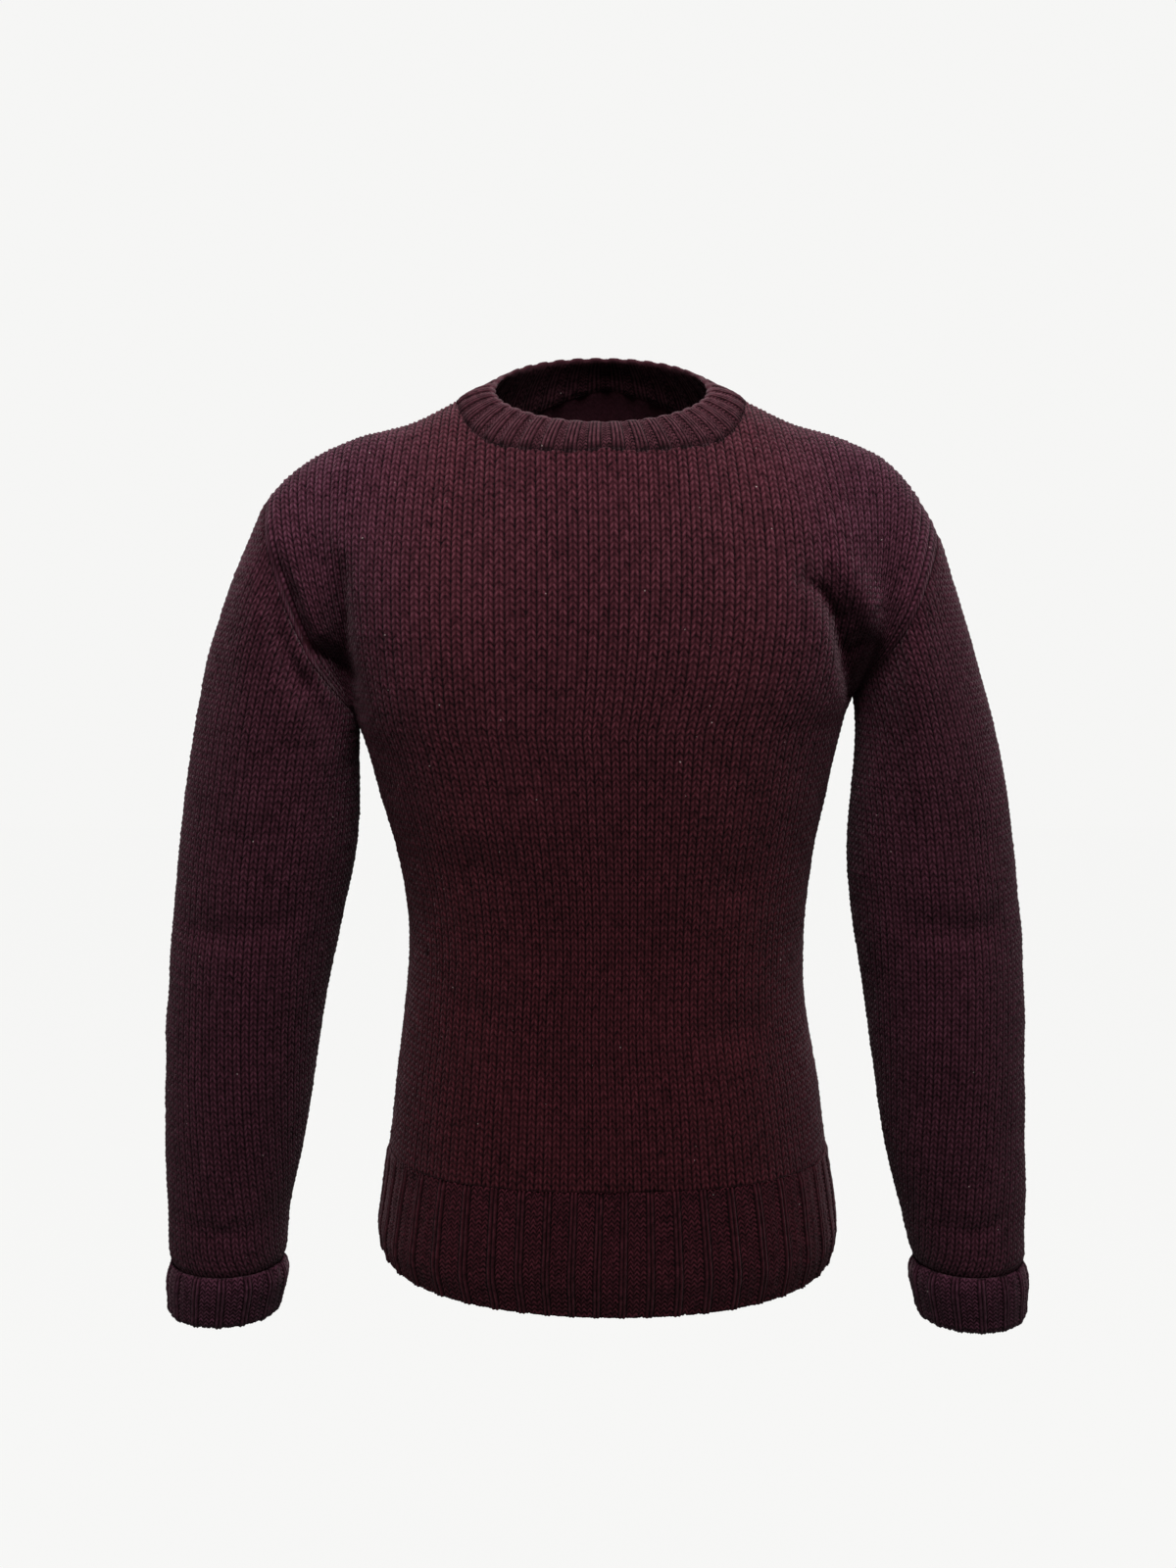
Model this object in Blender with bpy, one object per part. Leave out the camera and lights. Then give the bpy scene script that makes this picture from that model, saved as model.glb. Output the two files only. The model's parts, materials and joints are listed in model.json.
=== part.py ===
"""A crew-neck wool sweater, hollow and filled out as it is worn, with turned-back cuffs.

Run it with: blender --background --python part.py, or from Blender's text editor.
Metres, +Z up. The front faces -Y, and the wearer's left is +X.
The origin is in the middle of the neck hole, level with the points where the neckband meets the shoulders.

The garment is knitted and sewn from these pieces, each one object:
  front, back                   plain-knit panels, from the hem rib up to the shoulder seams
  front_hem_rib, back_hem_rib   the ribbed welts below them
  right_sleeve, left_sleeve     plain-knit tubes, from the armhole down to the wrist
  right_cuff, left_cuff         ribbed cuffs, folded up on their own outside
  neckband                      the ribbed band round the neck hole
"""

import math

import bpy
import numpy as np

# Walls and seams
KNIT_WALL = 0.0034
RIB_WALL = 0.0030
RIB_RISE = 0.0013
BAND_WALL = 0.0042
SEAM_GAP = 0.0003

# Ribs round each welt. A rib takes four columns: two low ones, then two raised ones.
# The neckband has one rib for each column of the neckline.
HEM_RIBS = 24
CUFF_RIBS = 14
RIB_COLUMNS = (0.0, 0.0, 1.0, 1.0)

# The hem rib: its upper edge, and its lower one at each side seam, which hangs lower in the middle
RIB_TOP_Z = -0.586
HEM_RIGHT_Z = -0.664
HEM_LEFT_Z = -0.669
FRONT_DROP = 0.019
BACK_DROP = 0.012

# The turned-back cuff: the seam inside it, its free edge and its fold
CUFF_SEAM_Z = -0.698
CUFF_EDGE_Z = -0.688
CUFF_FOLD_Z = {-1: -0.7305, 1: -0.7350}
CUFF_SLOT = 0.0006
CUFF_LEAN = 0.004
CUFF_TAPER = 0.0015

# The body's outline at each height: where its sides, front and back lie
BODY_SECTIONS = np.array([
    # z, right, left, front, back
    (-0.690, -0.1710, 0.1825, -0.1270, 0.1260),
    (-0.676, -0.1745, 0.1865, -0.1290, 0.1290),
    (-0.660, -0.1785, 0.1900, -0.1310, 0.1310),
    (-0.628, -0.1755, 0.1870, -0.1310, 0.1310),
    (-0.595, -0.1705, 0.1820, -0.1295, 0.1270),
    (-0.529, -0.1625, 0.1725, -0.1240, 0.1150),
    (-0.464, -0.1545, 0.1615, -0.1180, 0.1020),
    (-0.415, -0.1510, 0.1600, -0.1155, 0.0970),
    (-0.352, -0.1585, 0.1660, -0.1180, 0.1020),
    (-0.305, -0.1710, 0.1750, -0.1215, 0.1110),
    (-0.258, -0.1840, 0.1845, -0.1250, 0.1180),
    (-0.240, -0.1910, 0.1895, -0.1260, 0.1200),
    (-0.223, -0.1950, 0.1970, -0.1265, 0.1215),
    (-0.200, -0.1990, 0.2020, -0.1270, 0.1230),
])
SQUARENESS = 0.032
EVEN_ARC = 0.18

# The neck hole: where the neckband starts, seen from above, and its free edge
NECK_SHARE = 0.42
BAND_FOOT = {"half_width": 0.110, "front": -0.096, "back": 0.090}
BAND_RIM = {"half_width": 0.083, "front": -0.073, "back": 0.073, "z_front": -0.0165, "z_side": 0.0100, "z_back": 0.0345}
BAND_CROWN = 0.0022

# How far each shoulder has fallen on its way from the neck (0) to the armhole (1)
SHOULDER_FALL = np.array([
    # share of the way, right, left
    (0.00, 0.00, 0.00),
    (0.21, 0.20, 0.15),
    (0.54, 0.38, 0.31),
    (0.74, 0.56, 0.47),
    (0.86, 0.72, 0.66),
    (0.94, 0.87, 0.84),
    (1.00, 1.00, 1.00),
])

# Each sleeve as rings from the wrist up to the armhole. A ring has an outer point, on the side away
# from the body, an inner point, a middle in y, a half depth, and a bow that carries its front and
# back outwards.
RIGHT_SLEEVE = np.array([
    # outer x, outer z, inner x, inner z, y, depth, bow
    (0.3466, -0.6980, 0.2612, -0.6980, -0.004, 0.0418, 0.000),
    (0.3470, -0.6870, 0.2606, -0.6870, -0.004, 0.0421, 0.000),
    (0.3494, -0.6740, 0.2570, -0.6740, -0.003, 0.0450, 0.000),
    (0.3503, -0.6450, 0.2535, -0.6450, -0.002, 0.0475, 0.000),
    (0.3510, -0.5950, 0.2420, -0.5950, 0.001, 0.0530, 0.000),
    (0.3500, -0.5290, 0.2310, -0.5290, 0.005, 0.0585, 0.000),
    (0.3460, -0.4640, 0.2200, -0.4640, 0.009, 0.0625, 0.000),
    (0.3400, -0.4000, 0.2060, -0.4000, 0.011, 0.0655, 0.000),
    (0.3350, -0.3520, 0.1960, -0.3540, 0.012, 0.0665, 0.000),
    (0.3270, -0.3000, 0.1920, -0.3130, 0.011, 0.0665, 0.002),
    (0.3160, -0.2400, 0.1915, -0.2790, 0.008, 0.0655, 0.004),
    (0.3010, -0.1810, 0.1905, -0.2590, 0.005, 0.0640, 0.007),
    (0.2820, -0.1300, 0.1900, -0.2480, 0.002, 0.0625, 0.010),
    (0.2575, -0.0760, 0.1910, -0.2400, 0.000, 0.0600, 0.012),
])
LEFT_SLEEVE = np.array([
    # outer x, outer z, inner x, inner z, y, depth, bow
    (0.3418, -0.6980, 0.2590, -0.6980, -0.004, 0.0418, 0.000),
    (0.3422, -0.6870, 0.2584, -0.6870, -0.004, 0.0421, 0.000),
    (0.3438, -0.6740, 0.2530, -0.6740, -0.003, 0.0450, 0.000),
    (0.3444, -0.6450, 0.2450, -0.6450, -0.002, 0.0475, 0.000),
    (0.3430, -0.5950, 0.2320, -0.5950, 0.001, 0.0530, 0.000),
    (0.3415, -0.5290, 0.2215, -0.5290, 0.005, 0.0585, 0.000),
    (0.3390, -0.4640, 0.2120, -0.4640, 0.009, 0.0625, 0.000),
    (0.3340, -0.4000, 0.2015, -0.4000, 0.011, 0.0655, 0.000),
    (0.3280, -0.3520, 0.1975, -0.3540, 0.012, 0.0665, 0.000),
    (0.3205, -0.3050, 0.1990, -0.3120, 0.011, 0.0665, 0.001),
    (0.3050, -0.2400, 0.2015, -0.2720, 0.008, 0.0650, 0.002),
    (0.2880, -0.1850, 0.2010, -0.2480, 0.005, 0.0630, 0.003),
    (0.2720, -0.1380, 0.1990, -0.2330, 0.002, 0.0615, 0.004),
    (0.2590, -0.1000, 0.1970, -0.2230, 0.000, 0.0600, 0.005),
])
SLEEVES = {-1: RIGHT_SLEEVE, 1: LEFT_SLEEVE}

# The curves that the columns of a panel follow above the chest. They run on over a ridge between the
# shoulders, which the neck hole takes away again.
COLUMN_CURVES = {
    "front": np.array([
        # place, height to which the column rises straight, length over which it bends to the ridge
        (0.00, 0.092, 0.120),
        (0.21, 0.094, 0.104),
        (0.42, 0.096, 0.066),
        (0.70, 0.088, 0.060),
        (1.00, 0.075, 0.066),
    ]),
    "back": np.array([
        (0.00, 0.147, 0.126),
        (0.21, 0.140, 0.108),
        (0.42, 0.115, 0.066),
        (0.70, 0.092, 0.060),
        (1.00, 0.075, 0.066),
    ]),
}
RIDGE_RISE = {"front": 0.038, "back": 0.068}
RIDGE_LEAN = math.radians(84)

# The largest folds. Each is a line of points on the front or back, with the depth that it is pressed
# in (a ridge stands out, below zero) and its half width there.
FRONT_FOLDS = {
    "right_armpit_crease": [
        # x, z, depth, half width
        (-0.194, -0.100, 0.000, 0.014),
        (-0.199, -0.140, 0.008, 0.013),
        (-0.200, -0.175, 0.015, 0.012),
        (-0.197, -0.210, 0.018, 0.012),
        (-0.190, -0.245, 0.008, 0.012),
        (-0.186, -0.275, 0.000, 0.012),
    ],
    "right_cap_trough": [
        (-0.254, -0.095, 0.000, 0.008),
        (-0.252, -0.130, 0.009, 0.008),
        (-0.245, -0.170, 0.012, 0.009),
        (-0.232, -0.205, 0.012, 0.010),
        (-0.214, -0.235, 0.008, 0.011),
        (-0.205, -0.270, 0.000, 0.012),
    ],
    "right_cap_ridge": [
        (-0.262, -0.090, 0.000, 0.010),
        (-0.270, -0.140, -0.005, 0.010),
        (-0.271, -0.190, -0.005, 0.012),
        (-0.268, -0.260, -0.002, 0.016),
        (-0.266, -0.330, 0.000, 0.018),
    ],
    "left_armpit_crease": [
        (0.152, -0.095, 0.000, 0.016),
        (0.167, -0.130, 0.008, 0.014),
        (0.180, -0.160, 0.015, 0.013),
        (0.188, -0.190, 0.019, 0.013),
        (0.193, -0.220, 0.014, 0.013),
        (0.192, -0.260, 0.000, 0.013),
    ],
    "left_cap_trough": [
        (0.238, -0.150, 0.000, 0.010),
        (0.226, -0.180, 0.006, 0.010),
        (0.214, -0.205, 0.011, 0.011),
        (0.205, -0.235, 0.008, 0.012),
        (0.204, -0.275, 0.000, 0.014),
    ],
    "left_cap_ridge": [
        (0.236, -0.110, 0.000, 0.010),
        (0.238, -0.150, -0.004, 0.010),
        (0.242, -0.210, -0.005, 0.012),
        (0.248, -0.290, -0.003, 0.014),
        (0.250, -0.370, 0.000, 0.016),
    ],
}
BACK_FOLDS = {
    "right_blade_crease": [
        (-0.200, -0.115, 0.000, 0.014),
        (-0.201, -0.155, 0.010, 0.012),
        (-0.197, -0.200, 0.017, 0.011),
        (-0.190, -0.245, 0.008, 0.012),
        (-0.185, -0.280, 0.000, 0.013),
    ],
    "left_blade_crease": [
        (0.196, -0.110, 0.000, 0.014),
        (0.199, -0.150, 0.011, 0.012),
        (0.197, -0.195, 0.018, 0.011),
        (0.192, -0.235, 0.008, 0.012),
        (0.188, -0.270, 0.000, 0.013),
    ],
    "right_waist_fold": [
        (-0.120, -0.360, 0.000, 0.018),
        (-0.085, -0.400, 0.004, 0.016),
        (-0.045, -0.430, 0.004, 0.016),
        (-0.010, -0.445, 0.000, 0.018),
    ],
    "left_waist_fold": [
        (0.125, -0.385, 0.000, 0.018),
        (0.090, -0.425, 0.004, 0.016),
        (0.050, -0.455, 0.003, 0.016),
        (0.015, -0.470, 0.000, 0.018),
    ],
}
FOLD_FADE = 0.045

# Columns and rows of each piece's grid
SHOULDER_COLUMNS = 10
FRONT_NECK_COLUMNS = 20
BACK_NECK_COLUMNS = 18
LOWER_ROWS = 9
ARMHOLE_ROWS = 12
SLEEVE_ROWS = 15
WRIST_ROWS = (0.0, 0.017, 0.038, 0.065)

FRONT, BACK = -1, 1
SIDE_NAMES = {FRONT: "front", BACK: "back"}


def smooth_table(table, x):
    """A table's other columns at x, on a smooth curve through its rows that runs straight on past its ends."""
    keys, values = table[:, 0], table[:, 1:]
    steps = np.diff(keys)
    slopes = np.diff(values, axis=0) / steps[:, None]
    middle = (slopes[:-1] * steps[1:, None] + slopes[1:] * steps[:-1, None]) / (steps[1:] + steps[:-1])[:, None]
    tangents = np.vstack([slopes[:1], middle, slopes[-1:]])
    x = np.asarray(x, float)
    held = np.clip(x, keys[0], keys[-1])
    i = np.clip(np.searchsorted(keys, held) - 1, 0, len(steps) - 1)
    h = steps[i][..., None]
    u = (held - keys[i])[..., None] / h
    curve = (
        (2 * u**3 - 3 * u**2 + 1) * values[i]
        + (u**3 - 2 * u**2 + u) * h * tangents[i]
        + (3 * u**2 - 2 * u**3) * values[i + 1]
        + (u**3 - u**2) * h * tangents[i + 1]
    )
    past = (x - held)[..., None]
    return curve + past * np.where(past < 0, tangents[0], tangents[-1])


def ease(x):
    """0 below 0, 1 above 1, and a smooth step between."""
    x = np.clip(x, 0.0, 1.0)
    return x * x * (3 - 2 * x)


def unit(v):
    """The vectors at length 1."""
    return v / np.maximum(np.linalg.norm(v, axis=-1, keepdims=True), 1e-12)


def body_section(face, s, z):
    """A point of the body at height z. s runs from -1 at the right side seam to 1 at the left one."""
    s, z = np.broadcast_arrays(np.asarray(s, float), np.asarray(z, float))
    right, left, front, back = np.moveaxis(smooth_table(BODY_SECTIONS, z), -1, 0)
    turn = math.pi / 2 * (s - EVEN_ARC * np.sin(math.pi * s) / math.pi)
    swell = (1 - SQUARENESS * np.cos(4 * turn)) / (1 - SQUARENESS)
    depth = front if face == FRONT else back
    x = (right + left) / 2 + (left - right) / 2 * np.sin(turn) * swell
    return np.stack([x, depth * np.cos(turn) * swell, z], -1)


def neck_ring(ring, turn):
    """A point of one edge of the neckband. turn is 0 at the front and a quarter turn at the left shoulder."""
    turn = np.asarray(turn, float)
    tilt = (ring["z_front"] - ring["z_back"]) / 2
    dip = (ring["z_front"] + ring["z_back"] - 2 * ring["z_side"]) / 4
    depth = np.where(np.cos(turn) > 0, -ring["front"], ring["back"])
    x = ring["half_width"] * np.sin(turn)
    z = ring["z_side"] + dip + tilt * np.cos(turn) + dip * np.cos(2 * turn)
    return np.stack([x, -depth * np.cos(turn), z], -1)


def sleeve_ring(side, turn, along):
    """A point of a sleeve. along is 0 at the wrist and 1 at the armhole, turn is 0 on the outer side."""
    table = SLEEVES[side]
    middles = (table[:, 0:2] + table[:, 2:4]) / 2
    travelled = np.concatenate([[0], np.cumsum(np.linalg.norm(np.diff(middles, axis=0), axis=1))])
    keyed = np.column_stack([travelled / travelled[-1], table])
    turn, along = np.broadcast_arrays(np.asarray(turn, float), np.asarray(along, float))
    xo, zo, xi, zi, y, depth, bow = np.moveaxis(smooth_table(keyed, along), -1, 0)
    length = np.hypot(xo - xi, zo - zi)
    bulge = bow * np.sin(turn) ** 2
    x = (xo + xi) / 2 + (xo - xi) / 2 * np.cos(turn) + bulge * (zo - zi) / length
    z = (zo + zi) / 2 + (zo - zi) / 2 * np.cos(turn) - bulge * (xo - xi) / length
    return np.stack([side * x, y - depth * np.sin(turn), z], -1)


def armhole_edge(face, side, t):
    """The armhole seam along the front or back panel, from the armpit at t 0 to the shoulder at t 1."""
    turn = math.pi * (1 - np.asarray(t, float))
    return sleeve_ring(side, -face * turn, 1.0)


def ridge(face, s):
    """The line over the shoulders: the shoulder seams, with a smooth hump between them."""
    s = np.asarray(s, float)
    share = np.clip((np.abs(s) - NECK_SHARE) / (1 - NECK_SHARE), 0, 1)
    across = np.clip(s / NECK_SHARE, -1, 1)
    hump = RIDGE_RISE[SIDE_NAMES[face]] * (1 - across**2) ** 2
    line = np.stack([BAND_FOOT["half_width"] * across, 0 * s, hump], -1)
    for side in (-1, 1):
        start = np.array([side * BAND_FOOT["half_width"], 0.0, 0.0])
        run = sleeve_ring(side, 0.0, 1.0) - start
        fall = smooth_table(SHOULDER_FALL, share)[..., 0 if side < 0 else 1]
        seam = start + run * np.stack([share, share, fall], -1)
        line = np.where(((np.sign(s) == side) & (share > 0))[..., None], seam, line)
    return line


def chest_level(s):
    """The height of the armpits, which differ, and a straight line between them."""
    right, left = RIGHT_SLEEVE[-1, 3], LEFT_SLEEVE[-1, 3]
    return (right + left) / 2 + (left - right) / 2 * np.asarray(s, float)


def column_curve(face, s, t):
    """One column of stitches above the chest: a Bezier curve that rises to the ridge and arrives level there."""
    s, t = np.broadcast_arrays(np.asarray(s, float), np.asarray(t, float))
    level, step = chest_level(s), 0.004
    foot, top = body_section(face, s, level), ridge(face, s)
    rising = (body_section(face, s, level + step) - body_section(face, s, level - step)) / (2 * step)
    rise, bend = np.moveaxis(smooth_table(COLUMN_CURVES[SIDE_NAMES[face]], np.abs(s)), -1, 0)[..., None]
    low = foot + rise * rising + 0.030 * np.abs(s)[..., None] ** 5 * np.array([0.0, face, 0.0])
    high = top - bend * np.array([0, -face * math.sin(RIDGE_LEAN), math.cos(RIDGE_LEAN)])
    u = t[..., None]
    return (1 - u) ** 3 * foot + 3 * u * (1 - u) ** 2 * low + 3 * u**2 * (1 - u) * high + u**3 * top


def above_chest(face, s, t):
    """The columns' curves, drawn out to the armhole seam at the sides."""
    s, t = np.broadcast_arrays(np.asarray(s, float), np.asarray(t, float))
    points = column_curve(face, s, t)
    for side in (-1, 1):
        pull = armhole_edge(face, side, t) - column_curve(face, float(side), t)
        points = points + np.where(np.sign(s) == side, np.abs(s) ** 6, 0.0)[..., None] * pull
    return points


def neck_cut(face, s):
    """How far along its curve each column gets before it meets the neckline, which is an ellipse from above."""
    s = np.atleast_1d(np.asarray(s, float))
    across = np.clip(s / NECK_SHARE, -1, 1)
    edge = np.abs(BAND_FOOT[SIDE_NAMES[face]]) * np.sqrt(1 - across**2)
    tries = np.linspace(0.3, 1.0, 141)[:, None]
    depth = np.abs(above_chest(face, s, tries)[..., 1])
    cut = [np.interp(-e, -d, tries[:, 0]) for e, d in zip(edge, depth.T)]
    return np.where(np.abs(s) < NECK_SHARE, cut, 1.0)


def yoke(face, s, t):
    """A point of a panel from the chest, at t 0, to its upper edge, at t 1."""
    return above_chest(face, s, t * neck_cut(face, s))


def fold_depth(folds, points):
    """How far the folds press each point in. Each fold is strongest on its line and fades to both sides."""
    x, z = points[..., 0], points[..., 2]
    total = np.zeros(x.shape)
    for line in folds.values():
        line = np.array(line)
        best = np.zeros(x.shape)
        for a, b in zip(line[:-1], line[1:]):
            run = b[:2] - a[:2]
            u = np.clip(((x - a[0]) * run[0] + (z - a[1]) * run[1]) / (run @ run), 0, 1)
            away = np.hypot(x - a[0] - u * run[0], z - a[1] - u * run[1])
            depth, width = a[2] + u * (b[2] - a[2]), a[3] + u * (b[3] - a[3])
            value = depth * np.exp(-((away / width) ** 2))
            best = np.where(np.abs(value) > np.abs(best), value, best)
        total = total + best
    return total


def folded(points):
    """The points with the front and back folds pressed in. They fade out towards the side seams."""
    y = points[..., 1]
    move = ease(-y / FOLD_FADE) * fold_depth(FRONT_FOLDS, points) - ease(y / FOLD_FADE) * fold_depth(BACK_FOLDS, points)
    return points + move[..., None] * np.array([0.0, 1.0, 0.0])


def grid_normals(points, closed):
    """Outward normals of a grid whose rows go up and whose columns go round, from the differences
    between neighbours."""
    if closed:
        across = np.roll(points, -1, axis=1) - np.roll(points, 1, axis=1)
    else:
        across = np.gradient(points, axis=1)
    return unit(np.cross(across, np.gradient(points, axis=0)))


def merge_normals(grids, normals):
    """Gives points that pieces share the same normal, so that the ends of their walls lie face to face."""
    shared = {}
    for grid, normal in zip(grids, normals):
        for p, n in zip(np.round(grid.reshape(-1, 3), 6).tolist(), normal.reshape(-1, 3)):
            key = tuple(p)
            shared[key] = shared.get(key, 0) + n
    merged = []
    for grid in grids:
        keys = np.round(grid.reshape(-1, 3), 6).tolist()
        merged.append(unit(np.array([shared[tuple(p)] for p in keys])).reshape(grid.shape))
    return merged


def flatten(normals, axis):
    """Normals turned square to an axis, for the ends of walls that meet in a plane."""
    flat = normals.copy()
    flat[..., axis] = 0
    return unit(flat)


def even_out(loop):
    """Normals round a closed seam, each one drawn towards its neighbours so that they turn steadily."""
    for _ in range(3):
        loop = unit(np.roll(loop, 1, axis=0) + 2 * loop + np.roll(loop, -1, axis=0))
    return loop


def ring_outward(ring):
    """Directions that lead out of a ring of points, square to it and in its plane."""
    across = ring[0] - ring[len(ring) // 2]
    tangent = np.roll(ring, -1, axis=0) - np.roll(ring, 1, axis=0)
    outward = unit(np.cross(tangent, np.cross(across, (0.0, 1.0, 0.0))))
    return outward * np.sign((outward * (ring - ring.mean(axis=0))).sum(-1, keepdims=True))


def draw_in(points, sides):
    """Moves the named edges half a seam gap into the piece, square to the edge."""
    moved = points.copy()
    for axis, end in sides:
        edge = np.take(points, end, axis)
        inside = np.take(points, 1 if end == 0 else -2, axis) - edge
        tangent = unit(np.gradient(edge, axis=0))
        inside = unit(inside - (inside * tangent).sum(-1, keepdims=True) * tangent)
        if axis == 0:
            moved[end] += inside * SEAM_GAP / 2
        else:
            moved[:, end] += inside * SEAM_GAP / 2
    return moved


def skin(outer, inner, closed):
    """A wall as vertices and faces: the outer grid, the inner grid, and strips that close every free edge."""
    rows, columns = outer.shape[:2]
    vertices = np.concatenate([outer.reshape(-1, 3), inner.reshape(-1, 3)])
    index = np.arange(rows * columns).reshape(rows, columns)
    if closed:
        index = np.concatenate([index, index[:, :1]], axis=1)
    far = index + rows * columns

    def quads(a, b, c, d):
        return np.stack([a, b, c, d], -1).reshape(-1, 4)

    faces = [
        quads(index[:-1, :-1], index[:-1, 1:], index[1:, 1:], index[1:, :-1]),
        quads(far[:-1, :-1], far[1:, :-1], far[1:, 1:], far[:-1, 1:]),
        quads(index[0, :-1], far[0, :-1], far[0, 1:], index[0, 1:]),
        quads(index[-1, :-1], index[-1, 1:], far[-1, 1:], far[-1, :-1]),
    ]
    if not closed:
        faces.append(quads(index[:-1, 0], index[1:, 0], far[1:, 0], far[:-1, 0]))
        faces.append(quads(index[:-1, -1], far[:-1, -1], far[1:, -1], index[1:, -1]))
    return vertices, np.concatenate(faces)


def ring_skin(profile):
    """A closed hoop as vertices and faces. profile[k] is the k-th line round it, in order about the section."""
    lines, columns = profile.shape[:2]
    index = np.arange(lines * columns).reshape(lines, columns)
    right, up = np.roll(index, -1, axis=1), np.roll(index, -1, axis=0)
    faces = np.stack([index, right, np.roll(up, -1, axis=1), up], -1).reshape(-1, 4)
    return profile.reshape(-1, 3), faces


def add_piece(name, mesh_data, colour, roughness):
    """One object with its own material."""
    vertices, faces = mesh_data
    mesh = bpy.data.meshes.new(name)
    mesh.from_pydata(vertices.tolist(), [], faces.tolist())
    mesh.update()
    material = bpy.data.materials.new(name)
    material.use_nodes = True
    shader = material.node_tree.nodes["Principled BSDF"]
    shader.inputs["Base Color"].default_value = (*colour, 1)
    shader.inputs["Roughness"].default_value = roughness
    shader.inputs["Metallic"].default_value = 0
    mesh.materials.append(material)
    bpy.context.scene.collection.objects.link(bpy.data.objects.new(name, mesh))


def panel_columns(neck_columns):
    """The columns of a panel. They end at even steps round the neckline, and in even steps along the shoulders."""
    neck = NECK_SHARE * np.sin(np.linspace(-math.pi / 2, math.pi / 2, neck_columns + 1))
    left = np.linspace(NECK_SHARE, 1, SHOULDER_COLUMNS + 1)[1:]
    return np.concatenate([-left[::-1], neck, left])


def panel(face, neck_columns):
    """The outer points of the front or back, in rows from the hem rib to the shoulders.
    Columns run to the viewer's right on the front, and the other way on the back."""
    s = panel_columns(neck_columns) * (1 if face == FRONT else -1)
    rise = np.linspace(0, 1, LOWER_ROWS + 1)[:-1, None]
    lower = body_section(face, s, RIB_TOP_Z + (chest_level(s) - RIB_TOP_Z) * rise)
    upper = yoke(face, s, np.linspace(0, 1, ARMHOLE_ROWS + 1)[:, None])
    return folded(np.concatenate([lower, upper]))


def sleeve(side):
    """The outer points of a sleeve, in rings from the wrist to the armhole."""
    turn = side * np.arange(2 * ARMHOLE_ROWS) * math.pi / ARMHOLE_ROWS
    along = np.concatenate([WRIST_ROWS, np.linspace(0.11, 1, SLEEVE_ROWS)])
    return folded(sleeve_ring(side, -turn, along[:, None]))


def hem_rib(face):
    """A hem rib, in three rows of outer points over three rows of plain inner ones."""
    columns = np.linspace(-1, 1, HEM_RIBS * 4 + 1) * (1 if face == FRONT else -1)
    raised = np.append(np.tile(RIB_COLUMNS, HEM_RIBS), 0.0)
    sides = (HEM_RIGHT_Z + HEM_LEFT_Z) / 2 + (HEM_LEFT_Z - HEM_RIGHT_Z) / 2 * columns
    bottom = sides - (FRONT_DROP if face == FRONT else BACK_DROP) * (1 - columns**2)
    heights = np.stack([bottom, 0.45 * RIB_TOP_Z + 0.55 * bottom, np.full(columns.shape, RIB_TOP_Z)])
    base = folded(body_section(face, columns, heights))
    normals = grid_normals(base, False)
    normals[:, [0, -1]] = np.sign(base[:, [0, -1], :1]) * np.array([1.0, 0.0, 0.0])
    normals[-1] = flatten(normals[-1], 2)
    edges = [(0, -1), (1, 0), (1, -1)]
    outer = base + normals * (raised * RIB_RISE)[:, None]
    return skin(draw_in(outer, edges), draw_in(base - normals * RIB_WALL, edges), False)


def cuff(side):
    """A turned-back cuff. Its inner layer hangs from the wrist, and its outer layer stands outside the
    sleeve's end with its ribs outwards."""
    count = CUFF_RIBS * 4
    turn = -side * np.arange(count) * 2 * math.pi / count
    raised = np.tile(RIB_COLUMNS, CUFF_RIBS)[:, None]
    ring = sleeve_ring(side, turn, 0.0)
    outward = grid_normals(np.stack([ring, ring + np.array([0, 0, 0.01])]), True)[0]
    outward[:, 2] = 0
    outward = unit(outward)
    layer, rise, fold = RIB_WALL, raised * RIB_RISE, CUFF_FOLD_Z[side]

    def line(distance, z):
        low = (CUFF_SEAM_Z - z) / (CUFF_SEAM_Z - fold)
        points = ring + outward * (distance - max(low, 0) * CUFF_TAPER)
        points[:, 0] += side * max(low, 0) * CUFF_LEAN
        points[:, 2] = z
        return points

    seam = CUFF_SEAM_Z - SEAM_GAP / 2
    return ring_skin(np.stack([
        line(-layer, seam),
        line(-layer, fold + 0.010),
        line(-layer * 0.70, fold + 0.003),
        line(CUFF_SLOT / 2, fold),
        line(CUFF_SLOT + layer * 0.75 + rise, fold + 0.003),
        line(CUFF_SLOT + layer + rise, fold + 0.010),
        line(CUFF_SLOT + layer + 0.0012 + rise, CUFF_EDGE_Z - 0.003),
        line(CUFF_SLOT + layer + rise, CUFF_EDGE_Z),
        line(CUFF_SLOT + 0.0014, CUFF_EDGE_Z - 0.001),
        line(CUFF_SLOT, fold + 0.005),
        line(0.0, fold + 0.005),
        line(0.0, seam),
    ]))


def band_rim(foot):
    """The free edge of the neckband opposite each point of its sewn edge."""
    depth = np.where(foot[:, 1] < 0, -BAND_FOOT["front"], BAND_FOOT["back"])
    return neck_ring(BAND_RIM, np.arctan2(foot[:, 0] / BAND_FOOT["half_width"], -foot[:, 1] / depth))


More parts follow.
